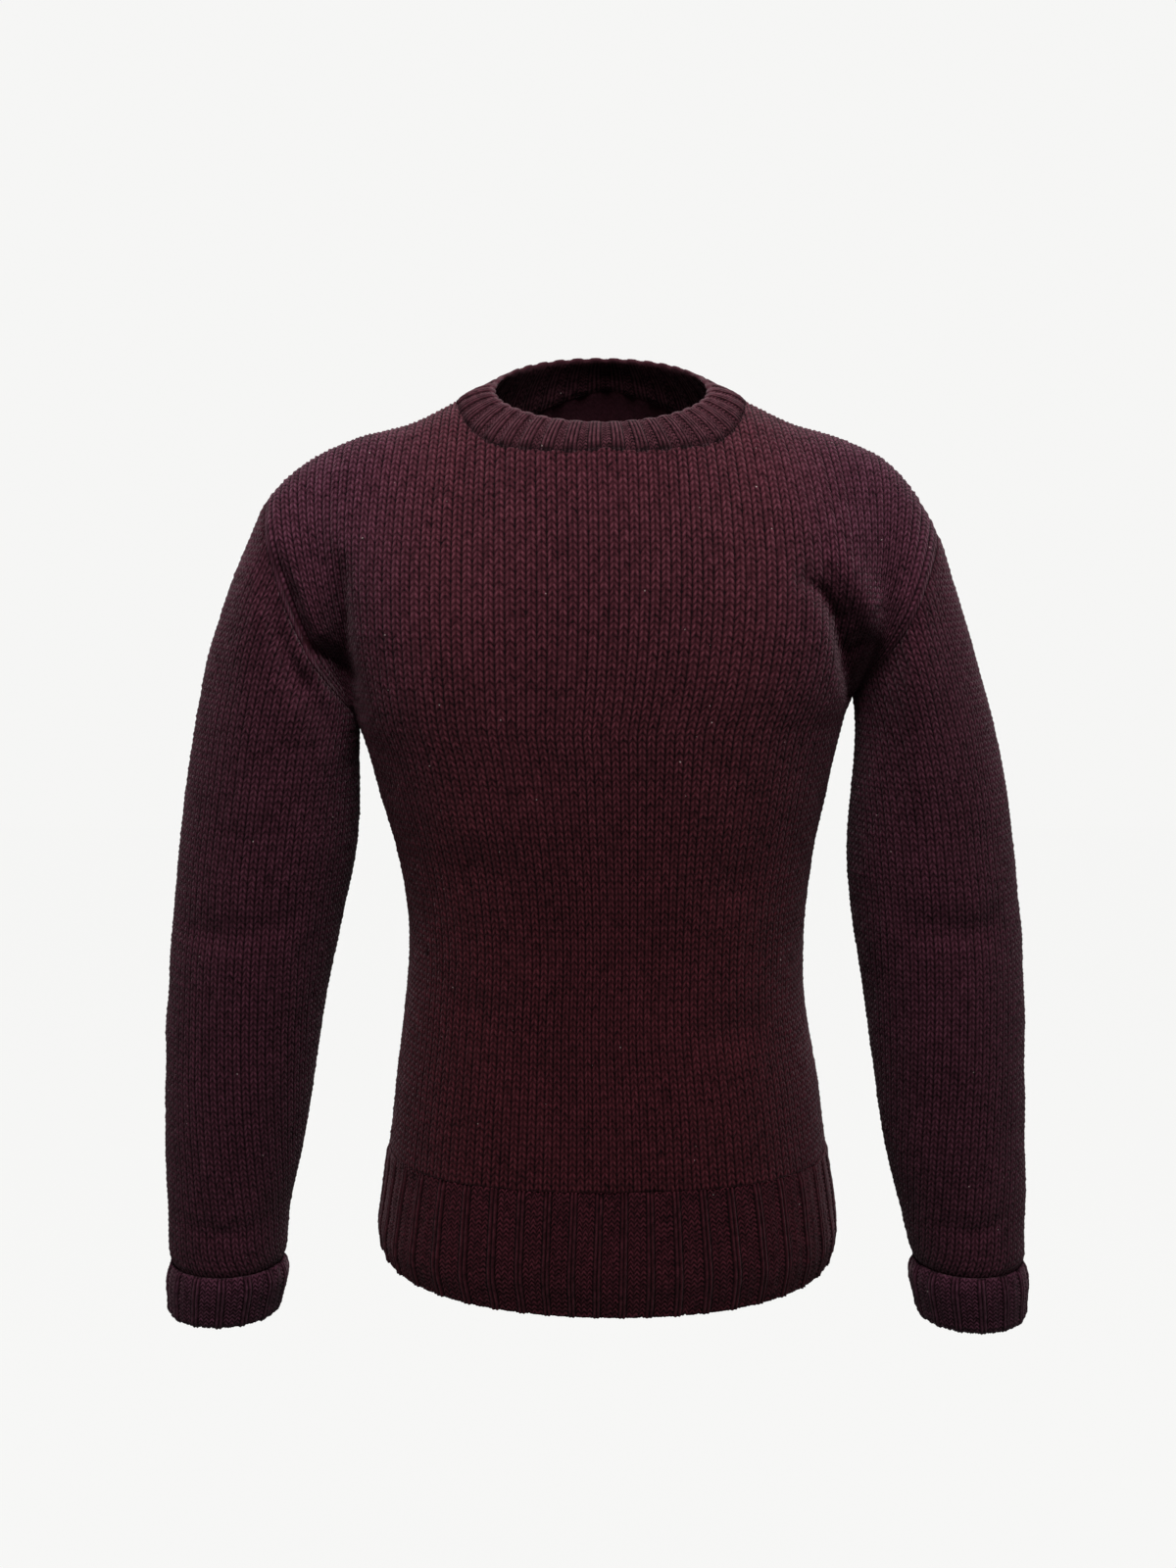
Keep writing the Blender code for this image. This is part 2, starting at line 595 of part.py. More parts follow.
def neckband(foot, foot_normals):
    """The neckband, from the sewn edge up to its free edge. foot holds the corners of the neckline, and
    there is one rib from each corner to the next."""
    share = np.arange(4)[:, None] / 4

    def divide(corners):
        return (corners[:, None] * (1 - share) + np.roll(corners, -1, axis=0)[:, None] * share).reshape(-1, 3)

    base, base_normal = divide(foot), unit(divide(foot_normals))
    rim = band_rim(base)
    up = unit(rim - base)
    band_normal = unit(np.cross(np.roll(base, -1, axis=0) - np.roll(base, 1, axis=0), up))
    rise = np.tile(RIB_COLUMNS, len(foot))[:, None] * RIB_RISE
    middle = (base + rim) / 2 + band_normal * BAND_CROWN
    start = base + up * SEAM_GAP / 2
    return ring_skin(np.stack([
        start - base_normal * BAND_WALL,
        start + base_normal * rise,
        middle + band_normal * rise,
        rim - up * 0.002 + band_normal * rise,
        rim - band_normal * BAND_WALL * 0.4,
        rim - up * 0.002 - band_normal * BAND_WALL,
        middle - band_normal * BAND_WALL,
    ]))


for old in list(bpy.data.objects):
    bpy.data.objects.remove(old, do_unlink=True)

names = ["front", "back", "right_sleeve", "left_sleeve"]
grids = [panel(FRONT, FRONT_NECK_COLUMNS), panel(BACK, BACK_NECK_COLUMNS), sleeve(-1), sleeve(1)]
normals = merge_normals(grids, [grid_normals(g, i > 1) for i, g in enumerate(grids)])
for normal in normals:
    normal[0] = flatten(normal[0], 2)
for normal in normals[:2]:
    normal[:LOWER_ROWS, [0, -1]] = flatten(normal[:LOWER_ROWS, [0, -1]], 1)
    for shoulder in (slice(0, SHOULDER_COLUMNS), slice(-SHOULDER_COLUMNS, None)):
        normal[-1, shoulder] = flatten(normal[-1, shoulder], 1)

# Round an armhole the ends of the walls lie in its plane, so at the armpit their outside faces down.
rows = np.arange(ARMHOLE_ROWS + 1)
for side, ring, front_edge, back_edge in ((-1, normals[2], 0, -1), (1, normals[3], -1, 0)):
    ring[-1] = ring_outward(grids[2 if side < 0 else 3][-1])
    normals[0][LOWER_ROWS + rows, front_edge] = ring[-1, (ARMHOLE_ROWS + side * rows) % (2 * ARMHOLE_ROWS)]
    normals[1][LOWER_ROWS + rows, back_edge] = ring[-1, (ARMHOLE_ROWS - side * rows) % (2 * ARMHOLE_ROWS)]

# Round the neckline the ends of the walls lean half way from the panels to the neckband.
front_neck = np.arange(SHOULDER_COLUMNS, SHOULDER_COLUMNS + FRONT_NECK_COLUMNS + 1)
back_neck = np.arange(SHOULDER_COLUMNS, SHOULDER_COLUMNS + BACK_NECK_COLUMNS + 1)
neckline = np.concatenate([grids[0][-1, front_neck], grids[1][-1, back_neck[1:-1]]])
on_panels = np.concatenate([normals[0][-1, front_neck], normals[1][-1, back_neck[1:-1]]])
along = np.roll(neckline, -1, axis=0) - np.roll(neckline, 1, axis=0)
neckline_normals = even_out(unit(on_panels + unit(np.cross(along, band_rim(neckline) - neckline))))
at_shoulders = [0, FRONT_NECK_COLUMNS]
neckline_normals[at_shoulders] = flatten(neckline_normals[at_shoulders], 1)
normals[0][-1, front_neck] = neckline_normals[: FRONT_NECK_COLUMNS + 1]
normals[1][-1, back_neck] = np.roll(neckline_normals, -FRONT_NECK_COLUMNS, axis=0)[: BACK_NECK_COLUMNS + 1]

COLOUR = (0.075, 0.018, 0.030)
SLEEVE_COLOUR = (0.065, 0.017, 0.030)
RIB_COLOUR = (0.055, 0.013, 0.022)

for name, grid, normal in zip(names, grids, normals):
    tube = name.endswith("sleeve")
    edges = [(0, 0), (0, -1)] if tube else [(0, 0), (0, -1), (1, 0), (1, -1)]
    outer, inner = draw_in(grid, edges), draw_in(grid - normal * KNIT_WALL, edges)
    if not tube:
        for layer in (outer, inner):
            layer[LOWER_ROWS, [0, -1], 0] -= np.sign(layer[LOWER_ROWS, [0, -1], 0]) * SEAM_GAP
    add_piece(name, skin(outer, inner, tube), SLEEVE_COLOUR if tube else COLOUR, 0.9)

add_piece("front_hem_rib", hem_rib(FRONT), RIB_COLOUR, 0.9)
add_piece("back_hem_rib", hem_rib(BACK), RIB_COLOUR, 0.9)
add_piece("right_cuff", cuff(-1), RIB_COLOUR, 0.9)
add_piece("left_cuff", cuff(1), RIB_COLOUR, 0.9)
add_piece("neckband", neckband(neckline, neckline_normals), RIB_COLOUR, 0.9)
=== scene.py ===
# %% [markdown]
# # A chunky wool sweater, stitch by stitch
#
# The sweater is hand-framed in a thick burgundy wool: plain knit for the body and the sleeves, rib for
# the hem, the cuffs and the neckband. It is hollow and keeps the form that it has when it is worn.
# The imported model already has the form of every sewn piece. Each of them is made again here in the same
# place, this time with its stitches, its seams and its smaller folds.

# %% Load the fixed frame
import json
import math

import bpy
import numpy as np
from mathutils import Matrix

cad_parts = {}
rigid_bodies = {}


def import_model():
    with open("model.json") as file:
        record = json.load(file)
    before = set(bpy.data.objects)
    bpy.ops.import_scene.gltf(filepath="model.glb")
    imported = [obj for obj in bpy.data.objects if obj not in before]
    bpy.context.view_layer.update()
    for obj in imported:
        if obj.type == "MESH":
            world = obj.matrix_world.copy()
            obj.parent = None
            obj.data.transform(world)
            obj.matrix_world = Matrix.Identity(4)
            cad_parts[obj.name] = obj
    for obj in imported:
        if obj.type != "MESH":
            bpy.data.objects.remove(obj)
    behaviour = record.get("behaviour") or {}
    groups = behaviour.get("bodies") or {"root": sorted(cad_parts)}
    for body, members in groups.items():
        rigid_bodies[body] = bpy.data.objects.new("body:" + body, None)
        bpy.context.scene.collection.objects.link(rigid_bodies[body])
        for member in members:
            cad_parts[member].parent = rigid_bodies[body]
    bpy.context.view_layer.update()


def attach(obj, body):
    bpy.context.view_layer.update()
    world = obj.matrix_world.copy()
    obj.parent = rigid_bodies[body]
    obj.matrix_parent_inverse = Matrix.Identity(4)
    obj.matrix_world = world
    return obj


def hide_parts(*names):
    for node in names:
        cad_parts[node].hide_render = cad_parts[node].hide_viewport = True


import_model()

# %% [markdown]
# The camera stands a little above the chest and looks slightly down. Its distance matters as much as
# its angle, because it sets how much larger the near side of a curve looks than the far side.

# %% Camera
camera_data = bpy.data.cameras.new("camera")
camera_data.lens = 47.25
camera_data.sensor_width = 36.0
camera = bpy.data.objects.new("camera", camera_data)
camera.location = (-0.010, -1.600, -0.034)
camera.rotation_euler = (math.radians(90 - 9.33), 0.0, 0.0)
bpy.context.scene.collection.objects.link(camera)
bpy.context.scene.camera = camera
print("camera at", tuple(camera.location), "with a lens of", camera_data.lens, "mm")

# %% [markdown]
# Wool drinks light, so a broad lamp above the front shades the stitches from the top, with a weak one on
# each side and one behind. The camera sees a bright, even background, but the wool gets only a little
# light from it, because more would fill the creases. The pale floor lies well below the sweater. It
# gives off the background's own tone and lights nothing, so no edge shows where the two meet.

# %% Studio
FLOOR_Z = -1.45


def area_lamp(name, place, target, size, watts):
    """A square lamp at a place, turned so that its face looks at the target."""
    data = bpy.data.lights.new(name, "AREA")
    data.size = size
    data.energy = watts
    lamp = bpy.data.objects.new(name, data)
    away = np.array(place, float) - np.array(target, float)
    flat = math.hypot(away[0], away[1])
    lamp.location = place
    lamp.rotation_euler = (math.atan2(flat, away[2]), 0.0, math.atan2(away[0], -away[1]))
    bpy.context.scene.collection.objects.link(lamp)


class Nodes:
    """Short ways to add nodes to a material's tree. A value is a number, a colour or another output."""

    def __init__(self, tree):
        self.tree = tree

    def feed(self, socket, value):
        """Links another output to a socket, or sets its value."""
        if isinstance(value, bpy.types.NodeSocket):
            self.tree.links.new(value, socket)
        else:
            socket.default_value = (*value, 1.0) if isinstance(value, tuple) else value

    def add(self, kind, values, **settings):
        """A new node of a kind, with values for its sockets and its own settings."""
        made = self.tree.nodes.new(kind)
        for key, value in settings.items():
            setattr(made, key, value)
        for key, value in values.items():
            self.feed(made.inputs[key], value)
        return made

    def math(self, operation, *values):
        return self.add("ShaderNodeMath", dict(enumerate(values)), operation=operation).outputs[0]

    def mix(self, factor, one, other, blend="MIX"):
        made = self.add("ShaderNodeMix", {"Factor": factor}, data_type="RGBA", blend_type=blend)
        for socket, value in zip([s for s in made.inputs if s.type == "RGBA"], (one, other)):
            self.feed(socket, value)
        return [s for s in made.outputs if s.type == "RGBA"][0]

    def noise(self, place, scale, detail, roughness=0.5):
        values = {"Vector": place, "Scale": scale, "Detail": detail, "Roughness": roughness}
        return self.add("ShaderNodeTexNoise", values).outputs["Fac"]

    def rise(self, value, start, end):
        """0 below the start, 1 above the end, and a smooth step between."""
        values = {"Value": value, "From Min": start, "From Max": end}
        return self.add("ShaderNodeMapRange", values, interpolation_type="SMOOTHSTEP").outputs["Result"]


world = bpy.data.worlds.new("studio")
world.use_nodes = True
bpy.context.scene.world = world
add = Nodes(world.node_tree)
ray = add.add("ShaderNodeLightPath", {}).outputs["Is Camera Ray"]
given = add.add("ShaderNodeBackground", {"Color": (1.0, 0.98, 0.97), "Strength": 0.13})
seen = add.add("ShaderNodeBackground", {"Color": (1.0, 1.0, 0.99), "Strength": 0.92})
either = add.add("ShaderNodeMixShader", {0: ray, 1: given.outputs[0], 2: seen.outputs[0]})
add.feed(world.node_tree.nodes["World Output"].inputs["Surface"], either.outputs[0])
bpy.context.scene.view_settings.view_transform = "Standard"

area_lamp("lamp above the front", (0.05, -1.05, 1.50), (0.0, 0.0, -0.15), 1.0, 78.0)
area_lamp("lamp on the right", (-1.9, -0.9, 0.3), (0.0, 0.0, -0.40), 1.2, 8.0)
area_lamp("lamp on the left", (1.9, -0.8, 0.4), (0.0, 0.0, -0.40), 1.2, 6.5)
area_lamp("lamp behind", (0.2, 1.6, 1.5), (0.0, 0.0, -0.20), 1.2, 55.0)

floor_mesh = bpy.data.meshes.new("floor")
floor_corners = [(-6, -6, FLOOR_Z), (6, -6, FLOOR_Z), (6, 6, FLOOR_Z), (-6, 6, FLOOR_Z)]
floor_mesh.from_pydata(floor_corners, [], [(0, 1, 2, 3)])
floor = bpy.data.objects.new("floor", floor_mesh)
floor_paint = bpy.data.materials.new("pale floor")
floor_paint.use_nodes = True
paint = floor_paint.node_tree.nodes["Principled BSDF"].inputs
paint["Base Color"].default_value = (0.015, 0.015, 0.015, 1.0)
paint["Roughness"].default_value = 1.0
paint["Specular IOR Level"].default_value = 0.0
paint["Emission Color"].default_value = (1.0, 1.0, 0.99, 1.0)
paint["Emission Strength"].default_value = 0.914
floor_mesh.materials.append(floor_paint)
bpy.context.scene.collection.objects.link(floor)
floor.visible_diffuse = False
print("studio: 4 lamps, floor at", FLOOR_Z)

# %% [markdown]
# The form of each piece is a function of two parameters. For the body they are a place across the
# front or back and a height; for a sleeve, an angle round it and a way along it. The tables give
# the measured outlines, and the functions run smooth curves through them. They are the same numbers
# that the solids were made from, so every stitch lands on the form that the frame holds.

# %% Sizes
FRONT = -1
BACK = 1
KNIT_WALL = 0.0034
RIB_WALL = 0.0030
RIB_RISE = 0.0013
BAND_WALL = 0.0042
HEM_RIBS = 24
CUFF_RIBS = 14
FRONT_BAND_RIBS = 20
BACK_BAND_RIBS = 18
BAND_RIBS = FRONT_BAND_RIBS + BACK_BAND_RIBS
RIB_TOP_Z = -0.586
HEM_RIGHT_Z = -0.664
HEM_LEFT_Z = -0.669
FRONT_DROP = 0.019
BACK_DROP = 0.012
SEAM_GAP = 0.0003
CUFF_SEAM_Z = -0.698
CUFF_EDGE_Z = -0.688
CUFF_FOLD_Z = {-1: -0.7305, 1: -0.7350}
CUFF_SLOT = 0.0006
CUFF_LEAN = 0.004
CUFF_TAPER = 0.0015
SQUARENESS = 0.032
EVEN_ARC = 0.18
NECK_SHARE = 0.42
FOOT_HALF_WIDTH = 0.110
FOOT_DEPTH = {FRONT: 0.096, BACK: 0.090}
RIM_HALF_WIDTH = 0.083
RIM_DEPTH = 0.073
RIM_HEIGHTS = {"front": -0.0165, "side": 0.0100, "back": 0.0345}
BAND_CROWN = 0.0022

BODY_SECTIONS = np.array([
    # z, right, left, front, back, in tenths of a millimetre
    (-6900, -1710, 1825, -1270, 1260),
    (-6760, -1745, 1865, -1290, 1290),
    (-6600, -1785, 1900, -1310, 1310),
    (-6280, -1755, 1870, -1310, 1310),
    (-5950, -1705, 1820, -1295, 1270),
    (-5290, -1625, 1725, -1240, 1150),
    (-4640, -1545, 1615, -1180, 1020),
    (-4150, -1510, 1600, -1155, 970),
    (-3520, -1585, 1660, -1180, 1020),
    (-3050, -1710, 1750, -1215, 1110),
    (-2580, -1840, 1845, -1250, 1180),
    (-2400, -1910, 1895, -1260, 1200),
    (-2230, -1950, 1970, -1265, 1215),
    (-2000, -1990, 2020, -1270, 1230),
]) / 10000
SHOULDER_FALL = np.array([
    # share of the way from neck to armhole, fall of the right shoulder, fall of the left one
    (0.00, 0.00, 0.00),
    (0.21, 0.20, 0.15),
    (0.54, 0.38, 0.31),
    (0.74, 0.56, 0.47),
    (0.86, 0.72, 0.66),
    (0.94, 0.87, 0.84),
    (1.00, 1.00, 1.00),
])
COLUMN_CURVES = {
    FRONT: np.array([
        # place, height to which the column rises straight, length over which it bends to the ridge
        (0.00, 0.092, 0.120),
        (0.21, 0.094, 0.104),
        (0.42, 0.096, 0.066),
        (0.70, 0.088, 0.060),
        (1.00, 0.075, 0.066),
    ]),
    BACK: np.array([
        (0.00, 0.147, 0.126),
        (0.21, 0.140, 0.108),
        (0.42, 0.115, 0.066),
        (0.70, 0.092, 0.060),
        (1.00, 0.075, 0.066),
    ]),
}
RIDGE_RISE = {FRONT: 0.038, BACK: 0.068}
RIDGE_LEAN = math.radians(84)
print("body table:", BODY_SECTIONS.shape, "shoulder table:", SHOULDER_FALL.shape)

# %% [markdown]
# Each sleeve is a stack of rings. A ring has an outer point, on the side away from the body, and an
# inner one, with a depth from front to back. The rings lie level at the wrist and lean over more and
# more, until the last one stands in the armhole.

# %% Sleeve rings
SLEEVES = {
    -1: np.array([
        # outer x, outer z, inner x, inner z, y, depth, bow, in tenths of a millimetre
        (3466, -6980, 2612, -6980, -40, 418, 0),
        (3470, -6870, 2606, -6870, -40, 421, 0),
        (3494, -6740, 2570, -6740, -30, 450, 0),
        (3503, -6450, 2535, -6450, -20, 475, 0),
        (3510, -5950, 2420, -5950, 10, 530, 0),
        (3500, -5290, 2310, -5290, 50, 585, 0),
        (3460, -4640, 2200, -4640, 90, 625, 0),
        (3400, -4000, 2060, -4000, 110, 655, 0),
        (3350, -3520, 1960, -3540, 120, 665, 0),
        (3270, -3000, 1920, -3130, 110, 665, 20),
        (3160, -2400, 1915, -2790, 80, 655, 40),
        (3010, -1810, 1905, -2590, 50, 640, 70),
        (2820, -1300, 1900, -2480, 20, 625, 100),
        (2575, -760, 1910, -2400, 0, 600, 120),
    ]) / 10000,
    1: np.array([
        (3418, -6980, 2590, -6980, -40, 418, 0),
        (3422, -6870, 2584, -6870, -40, 421, 0),
        (3438, -6740, 2530, -6740, -30, 450, 0),
        (3444, -6450, 2450, -6450, -20, 475, 0),
        (3430, -5950, 2320, -5950, 10, 530, 0),
        (3415, -5290, 2215, -5290, 50, 585, 0),
        (3390, -4640, 2120, -4640, 90, 625, 0),
        (3340, -4000, 2015, -4000, 110, 655, 0),
        (3280, -3520, 1975, -3540, 120, 665, 0),
        (3205, -3050, 1990, -3120, 110, 665, 10),
        (3050, -2400, 2015, -2720, 80, 650, 20),
        (2880, -1850, 2010, -2480, 50, 630, 30),
        (2720, -1380, 1990, -2330, 20, 615, 40),
        (2590, -1000, 1970, -2230, 0, 600, 50),
    ]) / 10000,
}
print("sleeve rings:", len(SLEEVES[-1]), "on each side")

# %% Smooth curves through the tables


def smooth_table(table, x):
    """The other columns of a table at x, on cubic curves through its rows that run straight on past
    its ends."""
    keys, values = table[:, 0], table[:, 1:]
    steps = np.diff(keys)
    slopes = np.diff(values, axis=0) / steps[:, None]
    before, after = steps[:-1, None], steps[1:, None]
    middle = (slopes[:-1] * after + slopes[1:] * before) / (after + before)
    tangents = np.vstack([slopes[:1], middle, slopes[-1:]])
    x = np.asarray(x, float)
    held = np.clip(x, keys[0], keys[-1])
    i = np.clip(np.searchsorted(keys, held) - 1, 0, len(steps) - 1)
    h = steps[i][..., None]
    u = (held - keys[i])[..., None] / h
    curve = (
        (2 * u**3 - 3 * u**2 + 1) * values[i]
        + (u**3 - 2 * u**2 + u) * h * tangents[i]
        + (3 * u**2 - 2 * u**3) * values[i + 1]
        + (u**3 - u**2) * h * tangents[i + 1]
    )
    past = (x - held)[..., None]
    return curve + past * np.where(past < 0, tangents[0], tangents[-1])


def ease(x):
    """0 below 0, 1 above 1, and 3x squared minus 2x cubed between."""
    x = np.clip(x, 0.0, 1.0)
    return x * x * (3 - 2 * x)


def unit(v):
    """The vectors at length 1."""
    return v / np.maximum(np.linalg.norm(v, axis=-1, keepdims=True), 1e-12)


def bell(distance, width):
    """1 at the middle, and e to the minus (distance over width) squared away from it."""
    return np.exp(-((distance / width) ** 2))


def arc_length(points, axis=0):
    """How far each point of a grid lies along its line, for lines that follow one axis of the grid."""
    travelled = np.cumsum(np.linalg.norm(np.diff(points, axis=axis), axis=-1), axis=axis)
    return np.insert(travelled, 0, 0, axis=axis)


print("half way up the body:", smooth_table(BODY_SECTIONS, -0.43).round(4))

# %% The body's form


def body_section(face, s, z):
    """Half of a rounded oval at height z: x goes with the sine and y with the cosine of a turn that s
    leads from the right side seam, -1, to the left one, 1."""
    s, z = np.broadcast_arrays(s, z)
    right, left, front, back = np.moveaxis(smooth_table(BODY_SECTIONS, z), -1, 0)
    turn = math.pi / 2 * (s - EVEN_ARC * np.sin(math.pi * s) / math.pi)
    swell = (1 - SQUARENESS * np.cos(4 * turn)) / (1 - SQUARENESS)
    depth = front if face == FRONT else back
    x = (right + left) / 2 + (left - right) / 2 * np.sin(turn) * swell
    return np.stack([x, depth * np.cos(turn) * swell, z], -1)


def sleeve_ring(side, turn, along):
    """An oval ring: the outer point at turn 0, the inner one at half a turn, and a bow that carries
    the front and back outwards with the square of the sine."""
    table = SLEEVES[side]
    travelled = arc_length((table[:, 0:2] + table[:, 2:4]) / 2)
    keyed = np.column_stack([travelled / travelled[-1], table])
    turn, along = np.broadcast_arrays(turn, along)
    xo, zo, xi, zi, y, depth, bow = np.moveaxis(smooth_table(keyed, along), -1, 0)
    length = np.hypot(xo - xi, zo - zi)
    bulge = bow * np.sin(turn) ** 2
    x = (xo + xi) / 2 + (xo - xi) / 2 * np.cos(turn) + bulge * (zo - zi) / length
    z = (zo + zi) / 2 + (zo - zi) / 2 * np.cos(turn) - bulge * (xo - xi) / length
    return np.stack([side * x, y - depth * np.sin(turn), z], -1)


def armhole_edge(face, side, t):
    """Half of the last sleeve ring, from the armpit at t 0 to the shoulder at t 1."""
    return sleeve_ring(side, -face * math.pi * (1 - t), 1.0)


def ridge(face, s):
    """The line over the shoulders: the shoulder seams, with a hump of the form (1 - x squared) squared
    between them."""
    share = np.clip((np.abs(s) - NECK_SHARE) / (1 - NECK_SHARE), 0, 1)
    across = np.clip(s / NECK_SHARE, -1, 1)
    hump = RIDGE_RISE[face] * (1 - across**2) ** 2
    line = np.stack([FOOT_HALF_WIDTH * across, 0 * s, hump], -1)
    for side in (-1, 1):
        start = np.array([side * FOOT_HALF_WIDTH, 0.0, 0.0])
        run = sleeve_ring(side, 0.0, 1.0) - start
        fall = smooth_table(SHOULDER_FALL, share)[..., 0 if side < 0 else 1]
        seam = start + run * np.stack([share, share, fall], -1)
        line = np.where(((np.sign(s) == side) & (share > 0))[..., None], seam, line)
    return line


def chest_level(s):
    """The height of the armpits, with a straight line between them."""
    right, left = SLEEVES[-1][-1, 3], SLEEVES[1][-1, 3]
    return (right + left) / 2 + (left - right) / 2 * s


def above_chest(face, s, t):
    """Bezier curves that rise to the ridge and arrive level there, drawn out to the armhole at the
    sides with the sixth power of s."""
    s, t = np.broadcast_arrays(s, t)

    def curve(s, t):
        level, step = chest_level(s), 0.004
        foot, top = body_section(face, s, level), ridge(face, s)
        rising = (body_section(face, s, level + step) - body_section(face, s, level - step)) / (2 * step)
        rise, bend = np.moveaxis(smooth_table(COLUMN_CURVES[face], np.abs(s)), -1, 0)[..., None]
        low = foot + rise * rising + 0.030 * np.abs(s)[..., None] ** 5 * np.array([0.0, face, 0.0])
        high = top - bend * np.array([0, -face * math.sin(RIDGE_LEAN), math.cos(RIDGE_LEAN)])
        u = t[..., None]
        return (1 - u) ** 3 * foot + 3 * u * (1 - u) ** 2 * low + 3 * u**2 * (1 - u) * high + u**3 * top

    points = curve(s, t)
    for side in (-1, 1):
        pull = armhole_edge(face, side, t) - curve(np.full(t.shape, float(side)), t)
        points = points + np.where(np.sign(s) == side, np.abs(s) ** 6, 0.0)[..., None] * pull
    return points


def neck_cut(face, s):
    """The share of its curve at which each column meets the neckline, an ellipse seen from above."""
    across = np.clip(s / NECK_SHARE, -1, 1)
    edge = FOOT_DEPTH[face] * np.sqrt(1 - across**2)
    tries = np.linspace(0.3, 1.0, 141)
    depth = np.abs(above_chest(face, s, tries[:, None])[..., 1])
    cut = [np.interp(-e, -d, tries) for e, d in zip(edge, depth.T)]
    return np.where(np.abs(s) < NECK_SHARE, cut, 1.0)


middle_top = above_chest(FRONT, np.zeros(1), neck_cut(FRONT, np.zeros(1)))
print("middle of the front neckline:", middle_top.round(4))

# %% [markdown]
# Thick wool folds softly and in few places: deep creases where the sleeves join the body, and shallow
# ones where the cloth bends at the waist, the elbows and above the cuffs. A fold is a line of points
# with a depth and a width. The surface is pressed in by a bell curve of the distance to that line, and
# a negative depth makes a ridge.

# %% Folds
FOLD_FADE = 0.045
FOLDS = {
    FRONT: [
        # one list a fold: x, z, depth and half width at its points, in millimetres
        [(-194, -100, 0, 14), (-199, -140, 8, 13), (-200, -175, 15, 12), (-197, -210, 18, 12),
         (-190, -245, 8, 12), (-186, -275, 0, 12)],
        [(-254, -95, 0, 8), (-252, -130, 9, 8), (-245, -170, 12, 9), (-232, -205, 12, 10),
         (-214, -235, 8, 11), (-205, -270, 0, 12)],
        [(-262, -90, 0, 10), (-270, -140, -5, 10), (-271, -190, -5, 12), (-268, -260, -2, 16),
         (-266, -330, 0, 18)],
        [(152, -95, 0, 16), (167, -130, 8, 14), (180, -160, 15, 13), (188, -190, 19, 13),
         (193, -220, 14, 13), (192, -260, 0, 13)],
        [(238, -150, 0, 10), (226, -180, 6, 10), (214, -205, 11, 11), (205, -235, 8, 12),
         (204, -275, 0, 14)],
        [(236, -110, 0, 10), (238, -150, -4, 10), (242, -210, -5, 12), (248, -290, -3, 14),
         (250, -370, 0, 16)],
    ],
    BACK: [
        [(-200, -115, 0, 14), (-201, -155, 10, 12), (-197, -200, 17, 11), (-190, -245, 8, 12),
         (-185, -280, 0, 13)],
        [(196, -110, 0, 14), (199, -150, 11, 12), (197, -195, 18, 11), (192, -235, 8, 12),
         (188, -270, 0, 13)],
        [(-120, -360, 0, 18), (-85, -400, 4, 16), (-45, -430, 4, 16), (-10, -445, 0, 18)],
        [(125, -385, 0, 18), (90, -425, 4, 16), (50, -455, 3, 16), (15, -470, 0, 18)],
    ],
}


